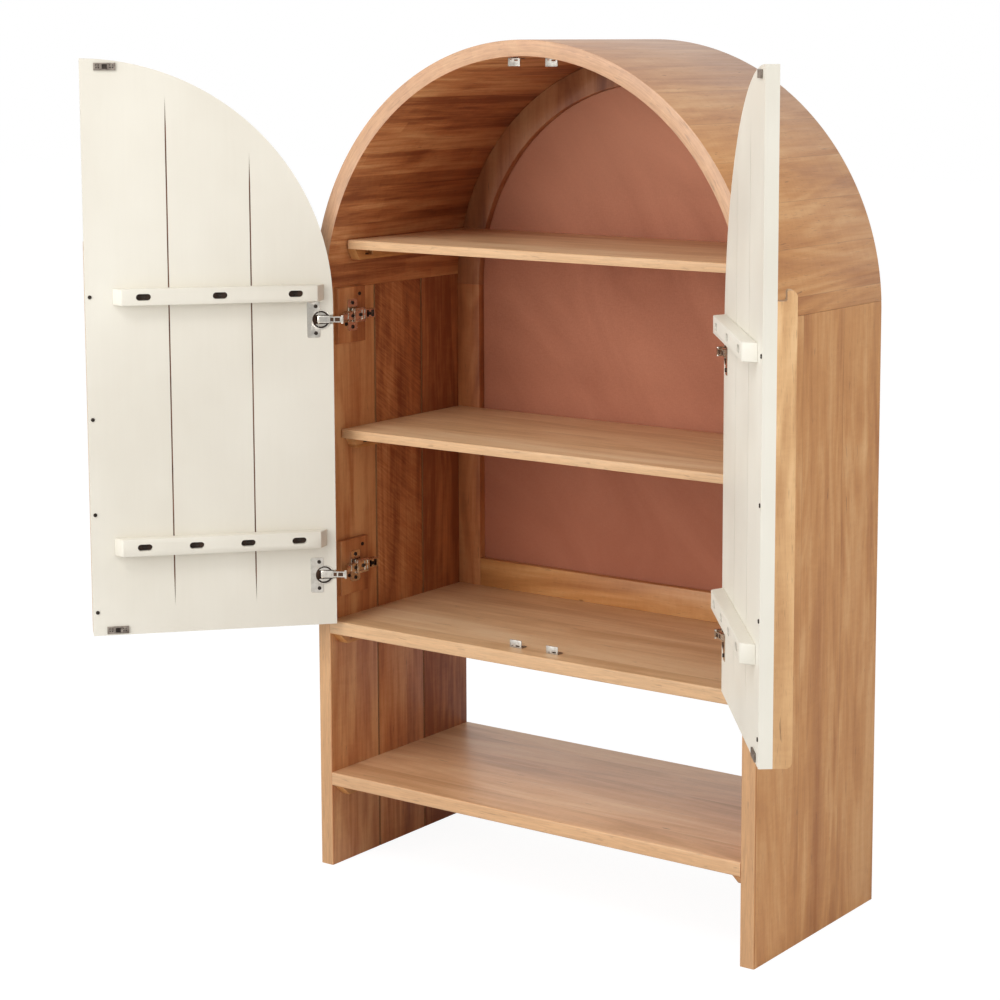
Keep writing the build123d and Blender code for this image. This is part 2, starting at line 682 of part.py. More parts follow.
def door_panel():
    """Painted door leaf with its grooves and cup recesses."""
    leaf = front_view(door_outline(), FRONT, DOOR_BOARD)
    for index in range(len(GROOVE_TOP_MARGINS)):
        leaf -= door_groove(index)
    for height in HINGE_HEIGHTS:
        mouth = cup_centre(height) * Rot(90, 0, 0)
        leaf -= mouth * Pos(0, 0, CUP_DEPTH / 2) * Cylinder(CUP_RADIUS, CUP_DEPTH)
        leaf -= cup_notch(height, DOOR_BOARD)
        leaf = drilled(leaf, cup_fixings(height))
    return drilled(leaf, batten_fixings() + pull_fixings())


# Each batten's inset from the meeting edge, middle height, height and number of wells
BATTENS = {
    "upper_batten": (UPPER_BATTEN_INSET, UPPER_BATTEN_CENTRE, UPPER_BATTEN_HEIGHT, UPPER_BATTEN_WELLS),
    "lower_batten": (LOWER_BATTEN_INSET, LOWER_BATTEN_CENTRE, LOWER_BATTEN_HEIGHT, LOWER_BATTEN_WELLS),
}


def well_places(meeting_inset, wells):
    """X of each screw well of a batten, evenly spaced between its end wells."""
    first = DOOR_EDGE + BATTEN_HINGE_INSET + WELL_END_INSET
    last = DOOR_EDGE + DOOR_WIDTH - meeting_inset - WELL_END_INSET
    return [first + index * (last - first) / (wells - 1) for index in range(wells)]


def batten(meeting_inset, centre, height, wells):
    """Rail across the inner face, slanted at its ends, with slotted screw wells."""
    low = DOOR_EDGE + BATTEN_HINGE_INSET
    high = DOOR_EDGE + DOOR_WIDTH - meeting_inset
    face = DOOR_INNER_FACE + BATTEN_THICKNESS
    outline = Polyline((low, DOOR_INNER_FACE), (high, DOOR_INNER_FACE), (high - BATTEN_SLANT, face),
                       (low + BATTEN_SLANT, face), close=True)
    rail = plan_view(make_face(outline), centre - height / 2, height)
    for x in well_places(meeting_inset, wells):
        slot = Pos(x, centre) * SlotOverall(SLOT_LENGTH, SLOT_WIDTH)
        rail -= front_view(slot, face - SLOT_DEPTH, SLOT_DEPTH)
    return drilled(rail, batten_fixings())


def batten_fixings():
    """A screw at the bottom of every slotted well, through the batten into the leaf."""
    seat_y = DOOR_INNER_FACE + BATTEN_THICKNESS - SLOT_DEPTH
    fixings = []
    for meeting_inset, centre, _, wells in BATTENS.values():
        for x in well_places(meeting_inset, wells):
            seat = Pos(x, seat_y, centre) * Rot(-90, 0, 0)
            fixings.append((seat, BATTEN_THICKNESS - SLOT_DEPTH + SCREW_LENGTH))
    return fixings


def door_pull():
    """Wooden strip along the meeting edge, with an outer lip that rises higher."""
    low = DOOR_BOTTOM
    lip_back = FRONT - PULL_DEPTH + PULL_LIP
    base_top = PULL_TOP - PULL_LIP_RISE
    points = [(FRONT, low), (FRONT, base_top), (lip_back, base_top), (lip_back, PULL_TOP),
              (FRONT - PULL_DEPTH, PULL_TOP), (FRONT - PULL_DEPTH, low)]
    strip = side_view(points, DOOR_EDGE + DOOR_WIDTH - PULL_WIDTH, PULL_WIDTH)
    across = strip.edges().filter_by(Axis.X)
    outer_corners = across.group_by(Axis.Y)[0]
    strip = fillet(outer_corners, PULL_CORNER)
    lip_edges = strip.edges().filter_by(Axis.X).filter_by_position(Axis.Y, lip_back - FIT, lip_back + FIT)
    return drilled(fillet(lip_edges, EDGE_ROUND), pull_fixings())


def pull_fixings():
    """Screws through the leaf that hold the pull."""
    x = DOOR_EDGE + DOOR_WIDTH - PULL_WIDTH / 3
    heights = (DOOR_BOTTOM + PULL_SCREW_OVER_BOTTOM, LOWER_BATTEN_CENTRE + PULL_SCREW_OVER_BATTEN,
               MIDDLE_SHELF_TOP + PULL_SCREW_OVER_SHELF, UPPER_BATTEN_CENTRE)
    fixings = []
    for z in heights:
        fixings.append((Pos(x, DOOR_INNER_FACE, z) * Rot(-90, 0, 0), PULL_SCREW_LENGTH))
    return fixings


def catch_plates():
    """Dark catch plates on the inner face, at the top and the bottom of the meeting edge."""
    right = DOOR_EDGE + DOOR_WIDTH - CATCH_EDGE_DISTANCE
    x_range = (right - CATCH_LENGTH, right)
    arch_top = DOOR_ARCH_CENTRE + sqrt(DOOR_RADIUS**2 - x_range[0]**2)
    plates = []
    for low in (DOOR_BOTTOM + CATCH_END_GAP, arch_top - CATCH_END_GAP - CATCH_HEIGHT):
        y_range = (DOOR_INNER_FACE, DOOR_INNER_FACE + CATCH_BOARD)
        plates.append(block(x_range, y_range, (low, low + CATCH_HEIGHT)))
    return group(plates)


def hung(piece, opening):
    """A piece of the closed left door, moved to its place at an opening."""
    _, cup = hinge_pose(opening)
    return Pos(cup[0], cup[1], 0) * Rot(0, 0, -opening) * Pos(-CUP_PIN[0], -CUP_PIN[1], 0) * piece


def each_hinge(make):
    """One piece for both hinges of a door."""
    return group([make(height) for height in HINGE_HEIGHTS])


def hinge_screws(fixings_at):
    """The screws of one kind on both hinges of a door."""
    return screws([fixing for height in HINGE_HEIGHTS for fixing in fixings_at(height)])


def door_pieces():
    """Every piece that turns with a door, closed on the left."""
    pieces = {
        "door_panel": door_panel(),
        "batten_screws": screws(batten_fixings()),
        "pull": door_pull(),
        "pull_screws": screws(pull_fixings()),
        "catch_plates": catch_plates(),
        "hinge_cups": each_hinge(hinge_cup),
        "cup_screws": hinge_screws(cup_fixings),
        "cup_pins": each_hinge(cup_pin),
    }
    for name, (meeting_inset, centre, height, wells) in BATTENS.items():
        pieces[name] = batten(meeting_inset, centre, height, wells)
    return pieces


def case_pieces():
    """Every fixed piece of the case that isn't one of a left and right pair."""
    low_strike = strike_plate(CABINET_FLOOR_TOP, 1, bottom_strike_fixings())
    high_strike = strike_plate(arch_height(), -1, top_strike_fixings())
    floor_fixings = bottom_strike_fixings() + mirrored_fixings(bottom_strike_fixings())
    pieces = {
        "arch_staves": arch_staves(),
        "bottom_shelf": carcass_shelf(BOTTOM_SHELF_TOP),
        "cabinet_floor": carcass_shelf(CABINET_FLOOR_TOP, floor_fixings),
        "middle_shelf": loose_shelf(MIDDLE_SHELF_TOP, MIDDLE_SHELF_SETBACK),
        "top_shelf": loose_shelf(TOP_SHELF_TOP, TOP_SHELF_SETBACK),
        "cleat_screws": cleat_screws(),
        "back_arch_rail": back_arch_rail(),
        "back_bottom_rail": back_bottom_rail(),
        "back_panel": back_panel(),
        "bottom_strike_plates": both_sides(low_strike),
        "top_strike_plates": both_sides(high_strike),
        "strike_screws": both_sides(screws(bottom_strike_fixings() + top_strike_fixings())),
        "block_screws": both_sides(hinge_screws(block_fixings)),
        "hinge_plate_screws": both_sides(group([hinge_screws(plate_fixings), hinge_screws(arm_fixings)])),
    }
    for name, measures in SHELVES.items():
        pieces[name + "_cleats"] = cleat_pair(*measures)
    return pieces


def paired_pieces():
    """Fixed pieces with a left and a right copy, as the left copy."""
    return {
        "side_panel": side_panel(),
        "back_stile": back_stile(),
        "hinge_blocks": each_hinge(hinge_block),
        "mounting_plates": each_hinge(mounting_plate),
        "hinge_arms": each_hinge(hinge_arm),
        "arm_pins": each_hinge(arm_pin),
    }


def link_pieces(opening):
    """Moving links of one door's hinges, on the left, at an opening."""
    return {
        "arm_links": each_hinge(lambda height: arm_link(height, opening)),
        "cup_links": each_hinge(lambda height: cup_link(height, opening)),
        "knuckle_pins": each_hinge(lambda height: knuckle_pin(height, opening)),
    }


def write(name, piece):
    """One STEP file for one node."""
    export_step(piece, f"parts/{name}.step")


os.makedirs("parts", exist_ok=True)
for name, piece in case_pieces().items():
    write(name, piece)
for name, piece in paired_pieces().items():
    write("left_" + name, piece)
    write("right_" + name, mirrored(piece))
for name, piece in link_pieces(LEFT_OPEN_ANGLE).items():
    write("left_" + name, piece)
for name, piece in link_pieces(RIGHT_OPEN_ANGLE).items():
    write("right_" + name, mirrored(piece))
for name, piece in door_pieces().items():
    write("left_" + name, hung(piece, LEFT_OPEN_ANGLE))
    write("right_" + name, mirrored(hung(piece, RIGHT_OPEN_ANGLE)))

left_knuckle, left_cup_pin = hinge_pose(LEFT_OPEN_ANGLE)
right_knuckle, right_cup_pin = hinge_pose(RIGHT_OPEN_ANGLE)
print("arm pin", ARM_PIN)
print("left knuckle", left_knuckle, "left cup pin", left_cup_pin)
print("right knuckle", right_knuckle, "right cup pin", right_cup_pin, "as on the left")
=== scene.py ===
"""Arched wooden cabinet with two painted doors, dressed around its measured frame."""
import math

import bmesh
import bpy
from mathutils import Matrix, Vector


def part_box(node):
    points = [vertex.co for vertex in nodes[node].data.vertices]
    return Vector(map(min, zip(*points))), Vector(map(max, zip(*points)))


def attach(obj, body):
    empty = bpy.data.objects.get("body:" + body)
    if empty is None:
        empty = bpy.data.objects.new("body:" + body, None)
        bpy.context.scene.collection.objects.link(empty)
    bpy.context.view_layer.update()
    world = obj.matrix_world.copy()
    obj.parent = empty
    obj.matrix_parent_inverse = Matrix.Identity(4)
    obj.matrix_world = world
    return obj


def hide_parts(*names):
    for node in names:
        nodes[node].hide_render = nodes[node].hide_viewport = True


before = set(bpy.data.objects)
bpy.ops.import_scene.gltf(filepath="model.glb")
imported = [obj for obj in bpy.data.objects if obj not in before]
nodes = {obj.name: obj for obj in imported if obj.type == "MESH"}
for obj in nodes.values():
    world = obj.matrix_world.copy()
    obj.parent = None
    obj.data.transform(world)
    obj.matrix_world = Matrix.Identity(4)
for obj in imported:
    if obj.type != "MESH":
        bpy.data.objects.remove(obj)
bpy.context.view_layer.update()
bpy.ops.object.select_all(action="DESELECT")


# Studio: the camera stands to the right of the cabinet at eye height, with a small
# lens shift that keeps the uprights nearly parallel.
camera_data = bpy.data.cameras.new("studio_camera")
camera_data.sensor_width = 36.0
camera_data.lens = 88.884
camera_data.shift_x = -0.0703
camera_data.shift_y = -0.135
camera_data.clip_end = 60.0
camera = bpy.data.objects.new("studio_camera", camera_data)
camera.location = (2.4569, -3.5895, 1.5336)
camera.rotation_euler = (math.pi / 2 - 0.13335, 0.0, 0.60892)
bpy.context.scene.collection.objects.link(camera)
bpy.context.scene.camera = camera
bpy.context.scene.view_settings.view_transform = "Standard"


# Studio light: an even white room, a large soft lamp at the front left, one for the
# right side and a small one high in front that reaches the shelves.
def soft_lamp(name, place, aim, size, watts):
    lamp_data = bpy.data.lights.new(name, "AREA")
    lamp_data.shape = "SQUARE"
    lamp_data.size = size
    lamp_data.energy = watts
    lamp = bpy.data.objects.new(name, lamp_data)
    lamp.location = place
    lamp.rotation_euler = (Vector(aim) - Vector(place)).to_track_quat("-Z", "Y").to_euler()
    bpy.context.scene.collection.objects.link(lamp)


soft_lamp("front_lamp", (-1.4, -4.6, 1.9), (0.0, 0.0, 0.85), 3.2, 118.0)
soft_lamp("side_lamp", (4.2, -0.7, 2.0), (0.4, 0.0, 0.8), 2.2, 58.0)
soft_lamp("top_lamp", (-0.2, -2.6, 3.6), (0.0, 0.0, 0.5), 1.2, 40.0)

world = bpy.data.worlds.new("white_room")
bpy.context.scene.world = world
world.use_nodes = True
room = world.node_tree
room.nodes.clear()
room_out = room.nodes.new("ShaderNodeOutputWorld")
room_mix = room.nodes.new("ShaderNodeMixShader")
room_light = room.nodes.new("ShaderNodeBackground")
room_light.inputs["Color"].default_value = (0.97, 0.985, 1.0, 1.0)
room_light.inputs["Strength"].default_value = 0.50
room_seen = room.nodes.new("ShaderNodeBackground")
room_seen.inputs["Color"].default_value = (1.0, 1.0, 1.0, 1.0)
room_seen.inputs["Strength"].default_value = 1.0
room_path = room.nodes.new("ShaderNodeLightPath")
room_any = room.nodes.new("ShaderNodeMath")
room_any.operation = "MAXIMUM"
room_clear = room.nodes.new("ShaderNodeMath")
room_clear.operation = "MAXIMUM"
room.links.new(room_path.outputs["Is Camera Ray"], room_any.inputs[0])
room.links.new(room_path.outputs["Is Glossy Ray"], room_any.inputs[1])
room.links.new(room_any.outputs[0], room_clear.inputs[0])
room.links.new(room_path.outputs["Is Transmission Ray"], room_clear.inputs[1])
room.links.new(room_clear.outputs[0], room_mix.inputs["Fac"])
room.links.new(room_light.outputs[0], room_mix.inputs[1])
room.links.new(room_seen.outputs[0], room_mix.inputs[2])
room.links.new(room_mix.outputs[0], room_out.inputs["Surface"])


# Studio floor: a plain white sweep that keeps a light shadow of the cabinet.
bpy.ops.mesh.primitive_plane_add(size=40.0, location=(0.0, 0.0, -0.0006))
floor = bpy.context.object
floor.name = "studio_floor"
floor_paper = bpy.data.materials.new("floor_paper")
floor_paper.use_nodes = True
paper = floor_paper.node_tree
paper.nodes.clear()
paper_out = paper.nodes.new("ShaderNodeOutputMaterial")
paper_mix = paper.nodes.new("ShaderNodeMixShader")
paper_matt = paper.nodes.new("ShaderNodeBsdfDiffuse")
paper_matt.inputs["Color"].default_value = (0.80, 0.80, 0.80, 1.0)
paper_glow = paper.nodes.new("ShaderNodeEmission")
paper_glow.inputs["Color"].default_value = (1.0, 1.0, 1.0, 1.0)
paper_glow.inputs["Strength"].default_value = 1.155
paper_path = paper.nodes.new("ShaderNodeLightPath")
paper_share = paper.nodes.new("ShaderNodeMath")
paper_share.operation = "MULTIPLY"
paper_share.inputs[1].default_value = 0.80
paper.links.new(paper_path.outputs["Is Camera Ray"], paper_share.inputs[0])
paper.links.new(paper_share.outputs[0], paper_mix.inputs["Fac"])
paper.links.new(paper_matt.outputs[0], paper_mix.inputs[1])
paper.links.new(paper_glow.outputs[0], paper_mix.inputs[2])
paper.links.new(paper_mix.outputs[0], paper_out.inputs["Surface"])
floor.data.materials.append(floor_paper)


# Timber: oiled and lacquered hardwood boards glued side by side. Each board has its own
# tone and figure, with fine pores along the grain and paler front edges.
def tint(red, green, blue):
    shares = []
    for value in (red, green, blue):
        share = value / 255.0
        shares.append(share / 12.92 if share <= 0.04045 else ((share + 0.055) / 1.055) ** 2.4)
    return (*shares, 1.0)


def darker(shade, share):
    return tint(*[value * share for value in shade])


def joined(tree, kind, links, **settings):
    node = tree.nodes.new(kind)
    for key, value in settings.items():
        setattr(node, key, value)
    for socket, source in links.items():
        if isinstance(source, bpy.types.NodeSocket):
            tree.links.new(source, node.inputs[socket])
        else:
            node.inputs[socket].default_value = source
    return node


def parts_of(tree, kind="Object"):
    where = tree.nodes.new("ShaderNodeTexCoord")
    return joined(tree, "ShaderNodeSeparateXYZ", {0: where.outputs[kind]}).outputs


def worked(tree, operation, first, second=0.0, third=0.0):
    links = {0: first, 1: second, 2: third}
    return joined(tree, "ShaderNodeMath", links, operation=operation).outputs[0]


def blend_of(tree, share, first, second):
    node = tree.nodes.new("ShaderNodeMix")
    node.data_type = "RGBA"
    for socket, source in ((0, share), (6, first), (7, second)):
        if isinstance(source, bpy.types.NodeSocket):
            tree.links.new(source, node.inputs[socket])
        else:
            node.inputs[socket].default_value = source
    return node.outputs[2]


def grain_noise(tree, along, across, depth, stretch, detail, rough=0.55, twist=0.0):
    place = joined(tree, "ShaderNodeCombineXYZ", {
        0: worked(tree, "MULTIPLY", along, stretch[0]),
        1: worked(tree, "MULTIPLY", across, stretch[1]),
        2: worked(tree, "MULTIPLY", depth, stretch[2])})
    noise = joined(tree, "ShaderNodeTexNoise", {
        "Vector": place.outputs[0], "Scale": 1.0, "Detail": detail, "Roughness": rough,
        "Distortion": twist})
    return noise.outputs["Fac"]


def level(tree, value, low, high, low_out=0.0, high_out=1.0):
    return joined(tree, "ShaderNodeMapRange", {
        "Value": value, "From Min": low, "From Max": high, "To Min": low_out,
        "To Max": high_out}).outputs[0]


def lot_of(tree, cell):
    return joined(tree, "ShaderNodeTexWhiteNoise", {"W": cell}, noise_dimensions="1D").outputs["Value"]


def shade_ramp(tree, share, shades):
    ramp = tree.nodes.new("ShaderNodeValToRGB")
    ramp.color_ramp.elements[0].position = 0.10
    ramp.color_ramp.elements[0].color = tint(*shades[0])
    ramp.color_ramp.elements[1].position = 0.90
    ramp.color_ramp.elements[1].color = tint(*shades[2])
    ramp.color_ramp.elements.new(0.5).color = tint(*shades[1])
    tree.links.new(share, ramp.inputs[0])
    return ramp.outputs[0]


def grain_places(tree, axes, hub):
    """Where a point lies along the grain, across it and in depth; on the arch the grain runs
    from front to back, and across follows the bend."""
    x, y, z = parts_of(tree)
    if hub is None:
        return [(x, y, z)[axis] for axis in axes]
    up = worked(tree, "SUBTRACT", z, hub)
    across = worked(tree, "MULTIPLY", worked(tree, "ARCTAN2", up, x), mean_radius)
    far = worked(tree, "SQRT", worked(tree, "MULTIPLY_ADD", up, up, worked(tree, "MULTIPLY", x, x)))
    return [y, across, far]


def turned_inside(tree, hub):
    """1 on the faces turned into the cabinet, 0 on the others."""
    x, _, z = parts_of(tree)
    facing = parts_of(tree, "Normal")
    rise = worked(tree, "MULTIPLY", facing[2], worked(tree, "SUBTRACT", z, hub or 0.0))
    return level(tree, worked(tree, "MULTIPLY_ADD", facing[0], x, rise), -0.05, -0.15)


def strip_tones(tree, along, across, strip, tone):
    """Narrow strips inside the arch, each of a few lengths with a slightly different tone."""
    number = worked(tree, "FLOOR", worked(tree, "DIVIDE", across, strip))
    strip_lot = lot_of(tree, number)
    from_end = worked(tree, "MULTIPLY_ADD", strip_lot, 0.7, along)
    length = worked(tree, "FLOOR", worked(tree, "DIVIDE", from_end, strip_length))
    length_lot = lot_of(tree, worked(tree, "MULTIPLY_ADD", length, 7.13, number))
    lots = worked(tree, "MULTIPLY_ADD", length_lot, 0.3, worked(tree, "MULTIPLY", strip_lot, 0.7))
    return worked(tree, "MULTIPLY", worked(tree, "SUBTRACT", lots, 0.5), 3.0 * tone)


def inner_board_tones(tree, slide, along, across, depth, board, fall):
    """Each inner board of a side is darker than the one before it, and the middle one has a
    curly figure above the cabinet floor."""
    from_front = worked(tree, "ADD", across, case_half_depth)
    number = worked(tree, "FLOOR", worked(tree, "DIVIDE", from_front, board))
    tones = worked(tree, "MULTIPLY_ADD", number, -fall, 0.85 * fall)
    slanting = worked(tree, "MULTIPLY_ADD", across, 0.7, slide)
    curl = grain_noise(tree, slanting, across, depth, (150.0, 16.0, 16.0), 2.0, 0.5, 1.6)
    from_middle = worked(tree, "ABSOLUTE", across)
    middle_board = level(tree, from_middle, board / 2 + 0.0005, board / 2 - 0.0005, 0.0, 0.34)
    curl_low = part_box("cabinet_floor")[1].z
    curl_share = worked(tree, "MULTIPLY", middle_board, level(tree, along, curl_low, curl_low + 0.05))
    return worked(tree, "MULTIPLY_ADD", curl_share, level(tree, curl, 0.34, 0.66, -0.55, 0.2), tones)


def edge_colour(tree, colour, front, edge_along, edge_across, y):
    """Paler front edge, with its own grain and small brown marks."""
    grain = grain_noise(tree, edge_along, edge_across, y, (20.0, 330.0, 60.0), 4.0, 0.65, 0.4)
    pale = blend_of(tree, level(tree, grain, 0.34, 0.66), darker(front, 0.87), tint(*front))
    pale = blend_of(tree, 0.26, pale, colour)
    marks = grain_noise(tree, edge_along, edge_across, y, (34.0, 260.0, 260.0), 2.0, 0.5, 0.5)
    return blend_of(tree, level(tree, marks, 0.62, 0.72, 0.0, 0.36), pale, darker(front, 0.62))


def timber(name, axes, shades, board, front=None, tone=0.5, seed=0.0, hub=None, inside=None,
           strip=None, fall=None):
    """axes: grain, across and depth as 0, 1 or 2; hub: height of the arch's centre, for bent
    pieces; inside and strip: shades and strip width of the faces turned into the cabinet; fall:
    how much darker each inner board is than the one before it."""
    material = bpy.data.materials.new(name)
    material.use_nodes = True
    tree = material.node_tree
    shader = tree.nodes["Principled BSDF"]
    shader.inputs["Coat Weight"].default_value = coat
    facing = parts_of(tree, "Normal")
    along, across, depth = grain_places(tree, axes, hub)
    cell = worked(tree, "ADD", worked(tree, "DIVIDE", across, board), seed + first_lot)
    lot = lot_of(tree, worked(tree, "FLOOR", cell))
    slide = worked(tree, "MULTIPLY_ADD", lot, 9.0, along)
    figure = grain_noise(tree, slide, across, depth, (1.2, 9.0, 9.0), 3.0, 0.5, 1.1)
    rings = level(tree, worked(tree, "SINE", worked(tree, "MULTIPLY", figure, 30.0)), -1.0, 1.0)
    streaks = grain_noise(tree, slide, across, depth, (4.4, 92.0, 92.0), 5.0, 0.68, 0.5)
    cloud = grain_noise(tree, slide, across, depth, (2.0, 11.0, 11.0), 3.0, 0.55, 1.2)
    pores = grain_noise(tree, slide, across, depth, (44.0, 1000.0, 1000.0), 2.0, 0.5, 0.0)
    flecks = grain_noise(tree, slide, across, depth, (22.0, 210.0, 210.0), 2.0, 0.5, 0.6)
    ripple = grain_noise(tree, slide, across, depth, (70.0, 24.0, 24.0), 2.0, 0.5, 1.4)
    mixed = worked(tree, "MULTIPLY", level(tree, streaks, 0.3, 0.7), 0.18)
    mixed = worked(tree, "MULTIPLY_ADD", rings, 0.19, mixed)
    mixed = worked(tree, "MULTIPLY_ADD", level(tree, cloud, 0.28, 0.72), 0.56, mixed)
    mixed = worked(tree, "MULTIPLY_ADD", level(tree, ripple, 0.35, 0.65), 0.05, mixed)
    lots = worked(tree, "MULTIPLY", worked(tree, "SUBTRACT", lot, 0.5), tone)
    colour = shade_ramp(tree, worked(tree, "ADD", mixed, lots), shades)
    dark = darker(shades[0], 0.55)
    if inside is not None:
        inner_share = turned_inside(tree, hub)
        if fall is None:
            tones = strip_tones(tree, along, across, strip, tone)
            contrast = 0.16
        else:
            tones = inner_board_tones(tree, slide, along, across, depth, board, fall)
            contrast = 0.07
        fine = level(tree, streaks, 0.32, 0.68, -contrast, contrast)
        inner = shade_ramp(tree, worked(tree, "ADD", worked(tree, "ADD", mixed, fine), tones), inside)
        colour = blend_of(tree, inner_share, colour, inner)
    # Painted reflection: the arch's upward faces are paled towards a grey-pink, as the bright room would
    # reflect in the lacquer at a grazing angle.
    if hub is not None:
        colour = blend_of(tree, level(tree, facing[2], 0.55, 1.0, 0.0, 0.42), colour, crown_painted_reflection)
    colour = blend_of(tree, level(tree, pores, 0.62, 0.74, 0.0, 0.42), colour, dark)
    colour = blend_of(tree, level(tree, flecks, 0.70, 0.78, 0.0, 0.60), colour, dark)
    if fall is not None:
        from_seam = worked(tree, "SUBTRACT", worked(tree, "ABSOLUTE", across), board / 2)
        near_seam = level(tree, worked(tree, "ABSOLUTE", from_seam), 0.0026, 0.0011)
        seam = worked(tree, "MULTIPLY", near_seam, inner_share)
        colour = blend_of(tree, seam, colour, seam_shade)
        tree.links.new(level(tree, seam, 0.0, 1.0, 0.5, 0.0), shader.inputs["Specular IOR Level"])
        tree.links.new(level(tree, seam, 0.0, 1.0, coat, 0.0), shader.inputs["Coat Weight"])
    in_board = worked(tree, "ABSOLUTE", worked(tree, "SUBTRACT", worked(tree, "FRACT", cell), 0.5))
    joint = level(tree, in_board, 0.5 - 0.0008 / board, 0.5 - 0.0003 / board, 0.0, 0.22)
    colour = blend_of(tree, joint, colour, dark)
    if front is not None:
        if hub is None:
            edge_along, edge_across = slide, worked(tree, "ADD", across, depth)
        else:
            edge_along, edge_across = across, depth
        pale = edge_colour(tree, colour, front, edge_along, edge_across, parts_of(tree)[1])
        colour = blend_of(tree, level(tree, facing[1], -0.55, -0.85), colour, pale)
    tree.links.new(colour, shader.inputs["Base Color"])
    tree.links.new(level(tree, streaks, 0.3, 0.7, 0.54, 0.40), shader.inputs["Roughness"])
    shader.inputs["Coat Roughness"].default_value = 0.34
    relief = worked(tree, "MULTIPLY_ADD", level(tree, pores, 0.60, 0.72), -0.8, streaks)
    bump = joined(tree, "ShaderNodeBump", {"Strength": 0.20, "Distance": 0.0004, "Height": relief})
    tree.links.new(bump.outputs[0], shader.inputs["Normal"])
    return material


honey = ((166, 105, 52), (195, 136, 78), (219, 169, 114))
pale_honey = ((204, 163, 118), (226, 188, 144), (238, 208, 168))
bay_honey = ((196, 148, 104), (219, 172, 128), (233, 195, 152))
russet = ((134, 70, 34), (184, 116, 68), (214, 158, 106))
ring_brown = ((118, 66, 36), (166, 106, 66), (194, 142, 98))
pull_honey = ((176, 126, 78), (210, 166, 116), (232, 197, 150))
honey_front = (212, 167, 122)
arch_front = (205, 164, 132)
# Painted reflection of the bright room on the crown of the arch.
crown_painted_reflection = tint(184, 158, 144)
seam_shade = tint(72, 36, 19)
coat = 0.16
first_lot = 20.37
strip_length = 0.31
mean_radius = 0.45
case_half_depth = 0.207
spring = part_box("arch_staves")[1].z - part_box("arch_staves")[1].x
side_wood = timber("side_wood", (2, 1, 0), honey, 0.138, honey_front, 0.16, 0.11, None, russet, None, 0.26)
arch_wood = timber("arch_wood", (1, 0, 2), honey, 0.0765, arch_front, 0.22, 0.0, spring, russet, 0.0255)
shelf_wood = timber("shelf_wood", (0, 1, 2), pale_honey, 0.092, honey_front, 0.26, 0.4)
bay_wood = timber("bay_wood", (0, 1, 2), bay_honey, 0.092, honey_front, 0.24, 0.1)
stile_wood = timber("stile_wood", (2, 0, 1), russet, 0.2, None, 0.15, 0.2)
ring_wood = timber("ring_wood", (2, 0, 1), ring_brown, 0.2, None, 0.15, 0.2)
rail_wood = timber("rail_wood", (0, 2, 1), honey, 0.2, None, 0.15, 0.5)
block_wood = timber("block_wood", (2, 1, 0), russet, 0.3, None, 0.1, 0.3)
cleat_wood = timber("cleat_wood", (1, 2, 0), honey, 0.2, None, 0.15, 0.7)
pull_wood = timber("pull_wood", (2, 0, 1), pull_honey, 0.3, None, 0.1, 0.9)


# Case boards: sawn and planed hardwood with lightly sanded edges. The side panels stand
# on the floor, the shelves are housed between them and the back frame stands behind.
merge_distance = 0.00001
smooth_angle = math.radians(32)


def edge_picked(piece, test):
    bpy.ops.object.select_all(action="DESELECT")
    piece.select_set(True)
    bpy.context.view_layer.objects.active = piece
    bpy.context.tool_settings.mesh_select_mode = (False, True, False)
    bpy.ops.object.mode_set(mode="EDIT")
    bpy.ops.mesh.select_all(action="DESELECT")
    mesh = bmesh.from_edit_mesh(piece.data)
    for edge in mesh.edges:
        edge.select_set(test(edge))
    bmesh.update_edit_mesh(piece.data)


arch_lap = math.radians(2.4)


def long_and_sharp(edge):
    if len(edge.link_faces) != 2 or not edge.is_convex or edge.calc_face_angle() < 0.6:
        return False
    middle = (edge.verts[0].co + edge.verts[1].co) / 2
    joint_height = spring + abs(middle.x) * math.tan(arch_lap)
    at_joint = abs(middle.z - joint_height) < 0.0006 and abs(middle.x) > 0.43
    return edge.calc_length() > 0.006 and not at_joint


def eased(piece, ease, test=long_and_sharp):
    edge_picked(piece, test)
    bpy.ops.mesh.bevel(offset=ease, segments=2, affect="EDGES", clamp_overlap=True)
    bpy.ops.mesh.select_all(action="SELECT")
    bpy.ops.mesh.normals_make_consistent(inside=False)
    bpy.ops.object.mode_set(mode="OBJECT")
    bpy.ops.object.shade_smooth_by_angle(angle=smooth_angle)


def board_from(node, name, ease, finish, body, test=long_and_sharp):
    piece = nodes[node].copy()
    piece.data = nodes[node].data.copy()
    piece.name = name
    for key in list(piece.keys()):
        del piece[key]
    piece.parent = None
    bpy.context.scene.collection.objects.link(piece)
    edge_picked(piece, lambda edge: True)
    bpy.ops.mesh.customdata_custom_splitnormals_clear()
    bpy.ops.mesh.remove_doubles(threshold=merge_distance)
    if ease is not None:
        bpy.ops.mesh.dissolve_limited(angle_limit=math.radians(0.6))
    bpy.ops.object.mode_set(mode="OBJECT")
    if ease is not None:
        eased(piece, ease, test)
    piece.data.materials.clear()
    piece.data.materials.append(finish)
    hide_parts(node)
    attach(piece, body)
    return piece


